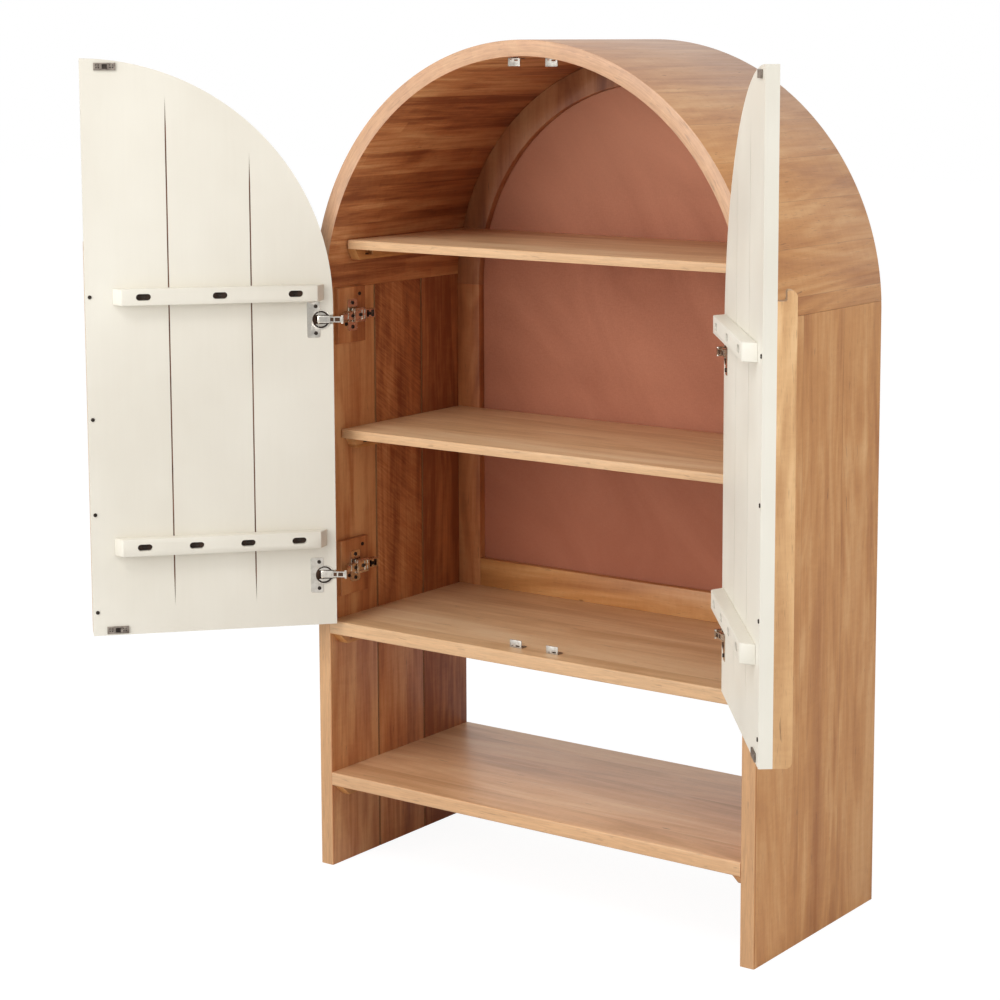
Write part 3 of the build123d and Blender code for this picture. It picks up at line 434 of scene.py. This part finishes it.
for node, name, ease, finish in (
        ("left_side_panel", "left_side_boards", 0.0012, side_wood),
        ("right_side_panel", "right_side_boards", 0.0012, side_wood),
        ("bottom_shelf", "bottom_shelf_board", 0.0016, bay_wood),
        ("cabinet_floor", "cabinet_floor_board", 0.0016, shelf_wood),
        ("middle_shelf", "middle_shelf_board", 0.0022, shelf_wood),
        ("top_shelf", "top_shelf_board", 0.0022, shelf_wood),
        ("left_back_stile", "left_back_upright", 0.0010, stile_wood),
        ("right_back_stile", "right_back_upright", 0.0010, stile_wood),
        ("back_arch_rail", "back_arch_ring", 0.0010, ring_wood),
        ("back_bottom_rail", "back_bottom_board", 0.0010, rail_wood),
        ("bottom_shelf_cleats", "bottom_shelf_bearers", 0.0008, cleat_wood),
        ("cabinet_floor_cleats", "cabinet_floor_bearers", 0.0008, cleat_wood),
        ("middle_shelf_cleats", "middle_shelf_bearers", 0.0008, cleat_wood),
        ("top_shelf_cleats", "top_shelf_bearers", 0.0008, cleat_wood),
        ("left_hinge_blocks", "left_hinge_packers", 0.0008, block_wood),
        ("right_hinge_blocks", "right_hinge_packers", 0.0008, block_wood)):
    board_from(node, name, ease, finish, "case")


# Arch: staves glued edge to edge into a half ring and planed round, so that only their
# tones show the joints. It stands on the ends of the side panels.
arch_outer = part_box("arch_staves")[1].x
arch_thickness = 0.028
arch_inner = arch_outer - arch_thickness
bpy.ops.object.select_all(action="DESELECT")
bpy.ops.mesh.primitive_plane_add(size=1.0, location=((arch_outer + arch_inner) / 2, 0.0, spring))
arch = bpy.context.object
arch.name = "arch_ring"
arch.scale = (arch_outer - arch_inner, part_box("arch_staves")[1].y * 2, 1.0)
bpy.ops.object.transform_apply(location=True, rotation=True, scale=True)
arch.data.transform(Matrix.Translation((0.0, 0.0, spring)) @ Matrix.Rotation(-arch_lap, 4, "Y") @
                    Matrix.Translation((0.0, 0.0, -spring)))
bpy.ops.object.mode_set(mode="EDIT")
bpy.ops.mesh.select_all(action="SELECT")
bpy.ops.mesh.spin(steps=144, angle=math.pi - 2 * arch_lap, center=(0.0, 0.0, spring),
                  axis=(0.0, 1.0, 0.0))
bpy.ops.mesh.select_all(action="SELECT")
bpy.ops.mesh.remove_doubles(threshold=merge_distance)
bpy.ops.mesh.normals_make_consistent(inside=False)
bpy.ops.object.mode_set(mode="OBJECT")
eased(arch, 0.0014)
arch.data.materials.append(arch_wood)
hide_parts("arch_staves")
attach(arch, "case")


# Back board: a thin fibre sheet stained terracotta, with a soft mottle and short fibres. Painted
# shade darkens it towards the foot and painted light brightens it towards the crown.
back_sheet = bpy.data.materials.new("back_sheet")
back_sheet.use_nodes = True
sheet = back_sheet.node_tree
sheet_x, sheet_y, sheet_z = parts_of(sheet)
sheet_slant = worked(sheet, "MULTIPLY_ADD", sheet_x, 0.8, sheet_z)
sheet_cloud = grain_noise(sheet, sheet_slant, sheet_x, sheet_y, (5.0, 3.6, 5.0), 5.0, 0.55, 1.0)
sheet_fibre = grain_noise(sheet, sheet_x, sheet_z, sheet_y, (700.0, 260.0, 400.0), 3.0, 0.6)
sheet_weave = grain_noise(sheet, sheet_x, sheet_z, sheet_y, (90.0, 380.0, 90.0), 3.0, 0.6)
sheet_tone = worked(sheet, "MULTIPLY_ADD", sheet_fibre, 0.25, worked(sheet, "MULTIPLY", sheet_cloud, 0.60))
sheet_tone = worked(sheet, "MULTIPLY_ADD", sheet_weave, 0.15, sheet_tone)
sheet_colour = blend_of(sheet, level(sheet, sheet_tone, 0.30, 0.70), tint(162, 99, 72), tint(198, 132, 102))
# Painted shade towards the foot and painted light towards the crown.
sheet_painted_shade = level(sheet, sheet_z, 1.00, 0.60, 0.0, 0.60)
sheet_painted_light = level(sheet, sheet_z, 1.12, 1.36, 0.0, 0.55)
sheet_colour = blend_of(sheet, sheet_painted_shade, sheet_colour, tint(150, 82, 54))
sheet_colour = blend_of(sheet, sheet_painted_light, sheet_colour, tint(212, 150, 118))
sheet.links.new(sheet_colour, sheet.nodes["Principled BSDF"].inputs["Base Color"])
sheet.nodes["Principled BSDF"].inputs["Roughness"].default_value = 0.72
sheet_bump = joined(sheet, "ShaderNodeBump", {"Strength": 0.15, "Distance": 0.0003, "Height": sheet_fibre})
sheet.links.new(sheet_bump.outputs[0], sheet.nodes["Principled BSDF"].inputs["Normal"])
nodes["back_panel"].data.materials.clear()
nodes["back_panel"].data.materials.append(back_sheet)


# Door paint: cream lacquer sprayed over wood, with a faint orange-peel and grain below it.
cream_paint = bpy.data.materials.new("cream_paint")
cream_paint.use_nodes = True
paint = cream_paint.node_tree
paint_x, paint_y, paint_z = parts_of(paint)
paint_shader = paint.nodes["Principled BSDF"]
paint_grain = grain_noise(paint, paint_z, paint_x, paint_y, (7.0, 120.0, 120.0), 4.0, 0.6, 0.6)
paint_peel = grain_noise(paint, paint_x, paint_y, paint_z, (420.0, 420.0, 420.0), 2.0, 0.5)
paint_cloud = grain_noise(paint, paint_x, paint_y, paint_z, (4.0, 4.0, 3.0), 3.0, 0.5)
paint_tone = worked(paint, "MULTIPLY_ADD", paint_grain, 0.10, worked(paint, "MULTIPLY", paint_cloud, 0.90))
paint_share = level(paint, paint_tone, 0.36, 0.64)
paint_colour = blend_of(paint, paint_share, tint(219, 213, 199), tint(227, 222, 209))
paint.links.new(paint_colour, paint_shader.inputs["Base Color"])
paint.links.new(level(paint, paint_cloud, 0.3, 0.7, 0.40, 0.52), paint_shader.inputs["Roughness"])
paint_relief = worked(paint, "MULTIPLY_ADD", paint_grain, 0.4, worked(paint, "MULTIPLY", paint_peel, 0.5))
paint_bump = joined(paint, "ShaderNodeBump", {"Strength": 0.07, "Distance": 0.0004, "Height": paint_relief})
paint.links.new(paint_bump.outputs[0], paint_shader.inputs["Normal"])


def bare_wood(name, dark, light):
    material = bpy.data.materials.new(name)
    material.use_nodes = True
    tree = material.node_tree
    x, y, z = parts_of(tree)
    cloud = grain_noise(tree, x, y, z, (90.0, 90.0, 25.0), 3.0, 0.6)
    tree.links.new(blend_of(tree, level(tree, cloud, 0.3, 0.7), tint(*dark), tint(*light)),
                   tree.nodes["Principled BSDF"].inputs["Base Color"])
    tree.nodes["Principled BSDF"].inputs["Roughness"].default_value = 0.8
    return material


groove_stain = bare_wood("groove_stain", (92, 58, 42), (142, 100, 78))
# Well floors: bare wood with the painted shade of the deep wells.
well_wood_and_shade = bare_wood("well_wood_and_shade", (38, 26, 20), (68, 48, 37))


# Doors: a painted leaf of three boards on each side, written closed on the left and hung
# open on its hinge pin. The front is carved with a trellis of diamonds and four-petal
# flowers inside a plain border; the inner face keeps the two open joints.
closed_pin = Vector((-0.4116, -0.1934, 0.0))
hung_at = {"left": (132.3, Vector((-0.43252, -0.236688, 0.0))),
           "right": (128.5, Vector((-0.430905, -0.23597, 0.0)))}
leaf_left, leaf_right, leaf_low = -0.4375, -0.0015, 0.4675
leaf_front, leaf_inner = -0.207, -0.186
leaf_hub, leaf_radius = 1.054, 0.4375
carving_depth = 0.0036


def hang_matrix(side):
    opening, pin = hung_at[side]
    turn_open = Matrix.Rotation(math.radians(-opening), 4, "Z")
    swing = Matrix.Translation(pin) @ turn_open @ Matrix.Translation(-closed_pin)
    return swing if side == "left" else Matrix.Scale(-1.0, 4, (1.0, 0.0, 0.0)) @ swing


def hung(piece, side):
    piece.data.transform(hang_matrix(side))
    if side == "right":
        piece.data.flip_normals()
    return piece


def twin_of(piece, name):
    twin = piece.copy()
    twin.data = piece.data.copy()
    twin.name = name
    bpy.context.scene.collection.objects.link(twin)
    return twin


def joined_up(pieces, name):
    bpy.ops.object.select_all(action="DESELECT")
    for piece in pieces:
        piece.select_set(True)
    bpy.context.view_layer.objects.active = pieces[0]
    bpy.ops.object.join()
    pieces[0].name = name
    bpy.ops.object.transform_apply(location=True, rotation=True, scale=True)
    return pieces[0]


def cut(piece, tool, operation):
    modifier = piece.modifiers.new("cut", "BOOLEAN")
    modifier.operation = operation
    modifier.solver = "EXACT"
    modifier.object = tool
    bpy.ops.object.select_all(action="DESELECT")
    piece.select_set(True)
    bpy.context.view_layer.objects.active = piece
    bpy.ops.object.modifier_apply(modifier="cut")


def carving_field(margin, meeting_margin, depth_range):
    """A solid of the leaf's outline, drawn in from its edges."""
    radius = leaf_radius - margin
    bpy.ops.object.select_all(action="DESELECT")
    bpy.ops.mesh.primitive_circle_add(vertices=256, radius=radius, fill_type="NGON",
                                      rotation=(math.pi / 2, 0.0, 0.0),
                                      location=(0.0, depth_range[0], leaf_hub))
    field = bpy.context.object
    bpy.ops.object.transform_apply(location=True, rotation=True, scale=True)
    bpy.ops.object.mode_set(mode="EDIT")
    bpy.ops.mesh.select_all(action="SELECT")
    bpy.ops.mesh.bisect(plane_co=(leaf_right - meeting_margin, 0, 0), plane_no=(1, 0, 0), clear_outer=True)
    bpy.ops.mesh.select_all(action="SELECT")
    bpy.ops.mesh.bisect(plane_co=(0, 0, leaf_hub), plane_no=(0, 0, 1), clear_inner=True)
    bpy.ops.object.mode_set(mode="OBJECT")
    edge_picked(field, lambda edge: all(abs(corner.co.z - leaf_hub) < 0.0001 for corner in edge.verts))
    bpy.ops.mesh.extrude_region_move(TRANSFORM_OT_translate={"value": (0, 0, leaf_low + margin - leaf_hub)})
    bpy.ops.mesh.select_all(action="SELECT")
    bpy.ops.mesh.dissolve_limited(angle_limit=math.radians(0.1))
    bpy.ops.mesh.select_all(action="SELECT")
    field_depth = depth_range[1] - depth_range[0]
    bpy.ops.mesh.extrude_region_move(TRANSFORM_OT_translate={"value": (0, field_depth, 0)})
    bpy.ops.mesh.select_all(action="SELECT")
    bpy.ops.mesh.normals_make_consistent(inside=False)
    bpy.ops.object.mode_set(mode="OBJECT")
    return field


def in_field(x, z, margin, meeting_margin):
    low_enough = x > leaf_left + margin and x < leaf_right - meeting_margin and z > leaf_low + margin
    return low_enough and (z < leaf_hub or math.hypot(x, z - leaf_hub) < leaf_radius - margin)


def shaded_where(piece, number, test, back=None):
    """Gives the faces that pass the test another of the piece's materials; back brings them to
    where the shape was written."""
    for face in piece.data.polygons:
        middle, facing = face.center, face.normal
        if back is not None:
            middle, facing = back @ middle, back.to_3x3() @ facing
        if test(middle, facing):
            face.material_index = number


def at_groove_floor(middle, facing):
    width = leaf_right - leaf_left
    beside = min(abs(middle.x - leaf_left - share * width / 3) for share in (1, 2))
    return (beside < 0.0030 and leaf_inner - 0.0024 < middle.y < leaf_inner - 0.0016
            and abs(facing.y) > 0.8)


border, meeting_border = 0.036, 0.044
diamond = (0.072, 0.096)
bar_width, bar_height, bar_setback, bar_overlap = 0.0075, carving_depth + 0.0010, 0.0004, 0.003
petal_size, petal_offset, bud_radius, flower_reach = (0.0085, 0.0032, 0.0042), 0.0098, 0.0032, 0.017
lean = math.atan2(diamond[0], diamond[1])
bars = []
for way in (-1, 1):
    for step in range(-16, 22):
        foot_x = leaf_left + step * diamond[0]
        inside = [share * 0.001 for share in range(0, 1900)
                  if in_field(foot_x + way * math.sin(lean) * share * 0.001,
                              leaf_low + math.cos(lean) * share * 0.001, border - bar_overlap,
                              meeting_border - bar_overlap)]
        if not inside:
            continue
        bpy.ops.mesh.primitive_cube_add(size=1.0, location=(0.0, 0.0, 0.0))
        bar = bpy.context.object
        bar.scale = (bar_width, bar_height, inside[-1] - inside[0])
        bpy.ops.object.transform_apply(location=False, rotation=False, scale=True)
        middle = (inside[0] + inside[-1]) / 2
        bar.data.transform(Matrix.Translation((foot_x + way * math.sin(lean) * middle,
                                               leaf_front + bar_setback + bar_height / 2,
                                               leaf_low + math.cos(lean) * middle)) @
                           Matrix.Rotation(way * lean, 4, "Y"))
        bars.append(bar)
trellis = joined_up(bars, "trellis")
eased(trellis, 0.0020, lambda edge: edge.calc_length() > 0.012 and edge.verts[0].co.y < leaf_front + 0.001
      and edge.verts[1].co.y < leaf_front + 0.001)

bpy.ops.object.select_all(action="DESELECT")
petals = []
for angle in (45, 135, 225, 315):
    bpy.ops.mesh.primitive_uv_sphere_add(segments=8, ring_count=6, radius=1.0, location=(0.0, 0.0, 0.0))
    petal = bpy.context.object
    petal.scale = petal_size
    bpy.ops.object.transform_apply(location=False, rotation=False, scale=True)
    petal.data.transform(Matrix.Rotation(math.radians(angle), 4, "Y") @
                         Matrix.Translation((petal_offset, 0.0, 0.0)))
    petals.append(petal)
bpy.ops.mesh.primitive_uv_sphere_add(segments=8, ring_count=6, radius=bud_radius, location=(0.0, 0.0, 0.0))
petals.append(bpy.context.object)
flower = joined_up(petals, "flower")
flowers = []
for column in range(0, 14):
    for row in range(-2, 24):
        if (column + row) % 2:
            continue
        x = leaf_left + column * diamond[0] / 2
        z = leaf_low + row * diamond[1] / 2
        if in_field(x, z, border + flower_reach, meeting_border + flower_reach):
            bloom = twin_of(flower, "bloom")
            bloom.data.transform(Matrix.Translation((x, leaf_front + carving_depth, z)))
            flowers.append(bloom)
bpy.data.objects.remove(flower)
carving = joined_up([trellis] + flowers, "left_door_carving")
bpy.ops.object.shade_smooth_by_angle(angle=math.radians(40))
carving.data.materials.clear()
carving.data.materials.append(cream_paint)
sunken = carving_field(border, meeting_border, (leaf_front - 0.002, leaf_front + carving_depth))
sunken_right = twin_of(sunken, "sunken_right")
carving_right = twin_of(carving, "right_door_carving")
for side, relief_piece, hollow in (("left", carving, sunken), ("right", carving_right, sunken_right)):
    hung(relief_piece, side)
    hung(hollow, side)
    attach(relief_piece, f"{side}_door")
    leaf = board_from(f"{side}_door_panel", f"{side}_door_leaf", None, cream_paint, f"{side}_door")
    cut(leaf, hollow, "DIFFERENCE")
    edge_picked(leaf, lambda edge: True)
    bpy.ops.mesh.remove_doubles(threshold=merge_distance)
    bpy.ops.mesh.normals_make_consistent(inside=False)
    bpy.ops.object.mode_set(mode="OBJECT")
    bpy.ops.object.shade_smooth_by_angle(angle=smooth_angle)
    leaf.data.materials.append(groove_stain)
    shaded_where(leaf, len(leaf.data.materials) - 1, at_groove_floor, hang_matrix(side).inverted())
    bpy.data.objects.remove(hollow)


# Battens and pulls: two painted rails screwed across each leaf, with bare wood darkened by painted
# shade and a screw head in their deep wells, and a wooden strip along the meeting edge.
def end_or_rim(edge):
    return long_and_sharp(edge) and edge.calc_length() > 0.020


def at_well_floor(middle, facing):
    return abs(facing.y) > 0.8 and leaf_inner + 0.0110 < middle.y < leaf_inner + 0.0150


for side in ("left", "right"):
    for part in ("upper_batten", "lower_batten"):
        rail = board_from(f"{side}_{part}", f"{side}_{part}_rail", 0.0016, cream_paint, f"{side}_door",
                          end_or_rim)
        # The well floors get bare wood darkened almost to black with painted shade.
        rail.data.materials.append(well_wood_and_shade)
        shaded_where(rail, 1, at_well_floor, hang_matrix(side).inverted())
    board_from(f"{side}_pull", f"{side}_pull_strip", 0.0020, pull_wood, f"{side}_door")


# Metal: bright nickel for the hinges, matt zinc for plates and blackened steel for screws.
def metal(name, shade, worn, roughness, shine=1.0):
    material = bpy.data.materials.new(name)
    material.use_nodes = True
    tree = material.node_tree
    shader = tree.nodes["Principled BSDF"]
    x, y, z = parts_of(tree)
    smudge = grain_noise(tree, x, y, z, (110.0, 110.0, 110.0), 3.0, 0.6)
    speck = grain_noise(tree, x, y, z, (1400.0, 1400.0, 500.0), 2.0, 0.5)
    colour = blend_of(tree, level(tree, smudge, 0.35, 0.7), tint(*shade), tint(*worn))
    tree.links.new(colour, shader.inputs["Base Color"])
    shader.inputs["Metallic"].default_value = shine
    tree.links.new(level(tree, smudge, 0.3, 0.7, roughness, roughness + 0.14), shader.inputs["Roughness"])
    bump = joined(tree, "ShaderNodeBump", {"Strength": 0.08, "Distance": 0.0002, "Height": speck})
    tree.links.new(bump.outputs[0], shader.inputs["Normal"])
    return material


nickel = metal("nickel", (224, 217, 206), (202, 194, 182), 0.15)
zinc = metal("zinc", (188, 184, 176), (158, 152, 144), 0.40)
taupe_plate = metal("taupe_plate", (112, 101, 92), (168, 158, 147), 0.42, 0.85)
black_steel = metal("black_steel", (52, 46, 42), (80, 72, 66), 0.42)
# Painted shade for sunk hinge faces, tinted brown as a painted reflection of the wood around them.
recess_shade_and_reflection = metal("recess_shade_and_reflection", (62, 42, 30), (96, 66, 46), 0.30, 0.6)
for name, node in nodes.items():
    if name.endswith(("_screws", "_pins")):
        node.data.materials.clear()
        node.data.materials.append(nickel if name.endswith("_pins") else black_steel)


# Hinge cups: pressed nickel-plated steel with a flange screwed on the leaf's inner face, and
# two half-round cheeks in the hollow of each, whose faces carry painted shade.
def small_rim(edge):
    return (len(edge.link_faces) == 2 and edge.is_convex and edge.calc_face_angle() > 0.9
            and edge.calc_length() > 0.0022)


def from_hinge(z):
    return min(abs(z - height) for height in hinge_heights)


def in_cup(middle, facing):
    from_axis = math.hypot(middle.x - cup_middle[0], from_hinge(middle.z))
    return from_axis < cup_wall_radius + 0.0003 and middle.y < leaf_inner - 0.0006


hinge_heights = [(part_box("left_hinge_cups")[0].z + 0.032), (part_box("left_hinge_cups")[1].z - 0.032)]
cup_wall_radius = 0.0159
cup_middle = (leaf_left + 0.022, leaf_inner)
cheek_radius, cheek_depth, cheek_gap = 0.0128, 0.0040, 0.0080
for side in ("left", "right"):
    cups = board_from(f"{side}_hinge_cups", f"{side}_cup_pressings", 0.0004, nickel, f"{side}_door",
                      small_rim)
    # Cup hollows: painted shade with a painted reflection of the wood.
    cups.data.materials.append(recess_shade_and_reflection)
    shaded_where(cups, 1, in_cup, hang_matrix(side).inverted())
    cheeks = []
    for height in hinge_heights:
        for way in (-1, 1):
            bpy.ops.object.select_all(action="DESELECT")
            bpy.ops.mesh.primitive_cylinder_add(vertices=48, radius=cheek_radius, depth=cheek_depth,
                                                rotation=(math.pi / 2, 0.0, 0.0),
                                                location=(cup_middle[0], leaf_inner - 0.0030, height))
            cheek = bpy.context.object
            bpy.ops.object.transform_apply(location=True, rotation=True, scale=True)
            bpy.ops.object.mode_set(mode="EDIT")
            bpy.ops.mesh.select_all(action="SELECT")
            bpy.ops.mesh.bisect(plane_co=(0.0, 0.0, height + way * cheek_gap), plane_no=(0.0, 0.0, way),
                                clear_inner=True, use_fill=True)
            bpy.ops.object.mode_set(mode="OBJECT")
            eased(cheek, 0.0005, small_rim)
            cheeks.append(cheek)
    cheek = hung(joined_up(cheeks, f"{side}_cup_cheeks"), side)
    cheek.data.materials.append(nickel)
    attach(cheek, f"{side}_door")


# Hinge links: a fork of two cheeks on the arm, and a strap with sunk faces and a dished cover
# that runs from the knuckle to the cup.
def box_tool(low, high):
    bpy.ops.object.select_all(action="DESELECT")
    bpy.ops.mesh.primitive_cube_add(size=1.0, location=(Vector(low) + Vector(high)) / 2)
    tool = bpy.context.object
    tool.scale = Vector(high) - Vector(low)
    bpy.ops.object.transform_apply(location=True, rotation=True, scale=True)
    return tool


def cut_boxes(piece, boxes, place=None):
    for low, high in boxes:
        tool = box_tool(low, high)
        if place is not None:
            tool.data.transform(place)
        cut(piece, tool, "DIFFERENCE")
        bpy.data.objects.remove(tool)


def on_strap_face(middle, facing):
    return middle.x < 0.023 and 0.0016 < abs(middle.y) < 0.0025 and abs(facing.y) > 0.8


for side in ("left", "right"):
    board_from(f"{side}_arm_links", f"{side}_forks", 0.0005, nickel, f"{side}_arm_link",
               small_rim)
    straps = board_from(f"{side}_cup_links", f"{side}_straps", 0.0006, nickel, f"{side}_cup_link",
                        small_rim)
    knuckle_low, knuckle_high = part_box(f"{side}_knuckle_pins")
    cup_low, cup_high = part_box(f"{side}_cup_pins")
    knuckle = (knuckle_low + knuckle_high) / 2
    cup_end = (cup_low + cup_high) / 2
    turn = math.atan2(cup_end.y - knuckle.y, cup_end.x - knuckle.x)
    reach = math.hypot(cup_end.y - knuckle.y, cup_end.x - knuckle.x)
    place = Matrix.Translation((knuckle.x, knuckle.y, 0.0)) @ Matrix.Rotation(turn, 4, "Z")
    strap_recesses = ((0.0045, 0.0135, 0.0034), (0.0160, 0.0220, 0.0034), (0.0240, reach - 0.0030, 0.0049))
    pockets = []
    for height in hinge_heights:
        for way in (-1, 1):
            for start, end, rise in strap_recesses:
                pockets.append(((start, min(way * 0.0023, way * 0.0034), height - rise),
                                (end, max(way * 0.0023, way * 0.0034), height + rise)))
    cut_boxes(straps, pockets, place)
    # Sunk strap faces: painted shade with a painted reflection of the wood.
    straps.data.materials.append(recess_shade_and_reflection)
    shaded_where(straps, 1, on_strap_face, place.inverted())
    covers = []
    for height in hinge_heights:
        cover = box_tool((0.0228, -0.00305, height - 0.0067), (reach + 0.0012, 0.00305, height + 0.0067))
        eased(cover, 0.0011, lambda edge: True)
        cut_boxes(cover, [((0.0250, min(way * 0.0026, way * 0.0040), height - 0.0046),
                           (reach - 0.0040, max(way * 0.0026, way * 0.0040), height + 0.0046))
                          for way in (-1, 1)])
        cover.data.transform(place)
        covers.append(cover)
    cover = joined_up(covers, f"{side}_strap_covers")
    cover.data.materials.append(nickel)
    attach(cover, f"{side}_cup_link")


# Hinge arms: boxed arms with sunk slots along the top, each held by a folded clip with one
# large and two small windows.
def across_face(face_x, sign, below, above):
    return sorted((face_x - sign * below, face_x + sign * above))


case_front = -case_half_depth
arm_slots = ((0.0482, 0.0512), (0.0880, 0.0942), (0.1004, 0.1090))
arm_middle_y, small_windows_from = -0.126, -0.131
clip_start, clip_end, clip_half, clip_window_depth = 0.0535, 0.0850, 0.0130, 0.0006
clip_windows = ((0.0575, 0.0745, -0.0086, 0.0086), (0.0775, 0.0820, 0.0015, 0.0095),
                (0.0775, 0.0820, -0.0095, -0.0015))
for side, sign in (("left", 1.0), ("right", -1.0)):
    arms = board_from(f"{side}_hinge_arms", f"{side}_arm_pressings", 0.0009, nickel, "case",
                      small_rim)
    arm_low, arm_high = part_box(f"{side}_hinge_arms")
    top = arm_high.x if side == "left" else arm_low.x
    pockets = []
    for height in hinge_heights:
        for start, end in arm_slots:
            first, last = across_face(top, sign, 0.0040, 0.0010)
            pockets.append(((first, case_front + start, height - 0.0062),
                            (last, case_front + end, height + 0.0062)))
    cut_boxes(arms, pockets)
    # Sunk arm slots: painted shade with a painted reflection of the wood.
    arms.data.materials.append(recess_shade_and_reflection)
    shaded_where(arms, 1, lambda middle, facing: (
        0.0015 < abs(middle.x - top) < 0.0046 and abs(middle.y - arm_middle_y) < 0.030
        and from_hinge(middle.z) < 0.0064))
    clips = []
    for height in hinge_heights:
        first, last = across_face(top, sign, 0.0075, 0.0012)
        clip = box_tool((first, case_front + clip_start, height - clip_half),
                        (last, case_front + clip_end, height + clip_half))
        eased(clip, 0.0016, lambda edge: True)
        first, last = across_face(top, sign, clip_window_depth, 0.0020)
        cut_boxes(clip, [((first, case_front + start, height + low), (last, case_front + end, height + high))
                         for start, end, low, high in clip_windows])
        clips.append(clip)
    clip = joined_up(clips, f"{side}_arm_clips")
    clip.data.materials.append(nickel)
    # Clip windows: painted shade with a painted reflection of the wood.
    clip.data.materials.append(recess_shade_and_reflection)
    shaded_where(clip, 1, lambda middle, facing: (
        abs(abs(middle.x - top) - clip_window_depth) < 0.0002 and abs(facing.x) > 0.8
        and middle.y > small_windows_from))
    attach(clip, "case")


# Mounting plates: thin plates screwed on the packing blocks under the arms. Their wings are
# spread wider here than in the measured part.
wing_spread = 1.65
for side in ("left", "right"):
    wings = board_from(f"{side}_mounting_plates", f"{side}_plate_wings", 0.0005, nickel, "case",
                       small_rim)
    plate_low, plate_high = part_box(f"{side}_mounting_plates")
    wing_middle = (plate_low.y + plate_high.y) / 2
    for corner in wings.data.vertices:
        corner.co.y = wing_middle + (corner.co.y - wing_middle) * wing_spread


# Catch plates: small pressed plates screwed at the top and bottom of each leaf, with a sunk
# dark square in the middle and small marks beside it.
plate_recess, plate_half_height = 0.0012, 0.0065
for side in ("left", "right"):
    plates = board_from(f"{side}_catch_plates", f"{side}_catch_pressings", 0.0004, taupe_plate,
                        f"{side}_door", small_rim)
    plates.data.materials.append(black_steel)
    back_to_closed = hang_matrix(side).inverted()
    corners = [back_to_closed @ corner.co for corner in plates.data.vertices]
    first_x = min(corner.x for corner in corners)
    last_x = max(corner.x for corner in corners)
    face_y = max(corner.y for corner in corners)
    middle_x = (first_x + last_x) / 2
    pockets = []
    low_z = min(corner.z for corner in corners)
    high_z = max(corner.z for corner in corners)
    for height in (low_z + plate_half_height, high_z - plate_half_height):
        pockets.append(((middle_x - 0.0045, face_y - plate_recess, height - 0.0042),
                        (middle_x + 0.0045, face_y + 0.0010, height + 0.0042)))
        for shift in (-0.0142, -0.0098, 0.0098, 0.0142):
            pockets.append(((middle_x + shift - 0.0011, face_y - plate_recess, height - 0.0030),
                            (middle_x + shift + 0.0011, face_y + 0.0010, height - 0.0004)))
            pockets.append(((middle_x + shift - 0.0007, face_y - plate_recess, height + 0.0016),
                            (middle_x + shift + 0.0013, face_y + 0.0010, height + 0.0036)))
    cut_boxes(plates, pockets, hang_matrix(side))
    shaded_where(plates, 1, lambda middle, facing: (
        abs(middle.y - face_y + plate_recess) < 0.0002 and abs(facing.y) > 0.8), back_to_closed)


# Strikes: bent angle plates under the arch and on the cabinet floor, each with a slot and a
# narrow window by its foot.
strike_places = (-0.039, 0.039)
for node, name, way in (("top_strike_plates", "upper_strikes", -1),
                        ("bottom_strike_plates", "lower_strikes", 1)):
    strikes = board_from(node, name, 0.0003, zinc, "case", small_rim)
    low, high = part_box(node)
    foot = low.z if way == 1 else high.z
    slots = []
    for middle_x in strike_places:
        slots.append(((middle_x + 0.0005, low.y - 0.001, min(foot + way * 0.0024, foot + way * 0.0048)),
                      (middle_x + 0.0085, low.y + 0.003, max(foot + way * 0.0024, foot + way * 0.0048))))
        slots.append(((middle_x - 0.0090, low.y - 0.001, min(foot + way * 0.0022, foot + way * 0.0036)),
                      (middle_x - 0.0045, low.y + 0.003, max(foot + way * 0.0022, foot + way * 0.0036))))
    cut_boxes(strikes, slots)
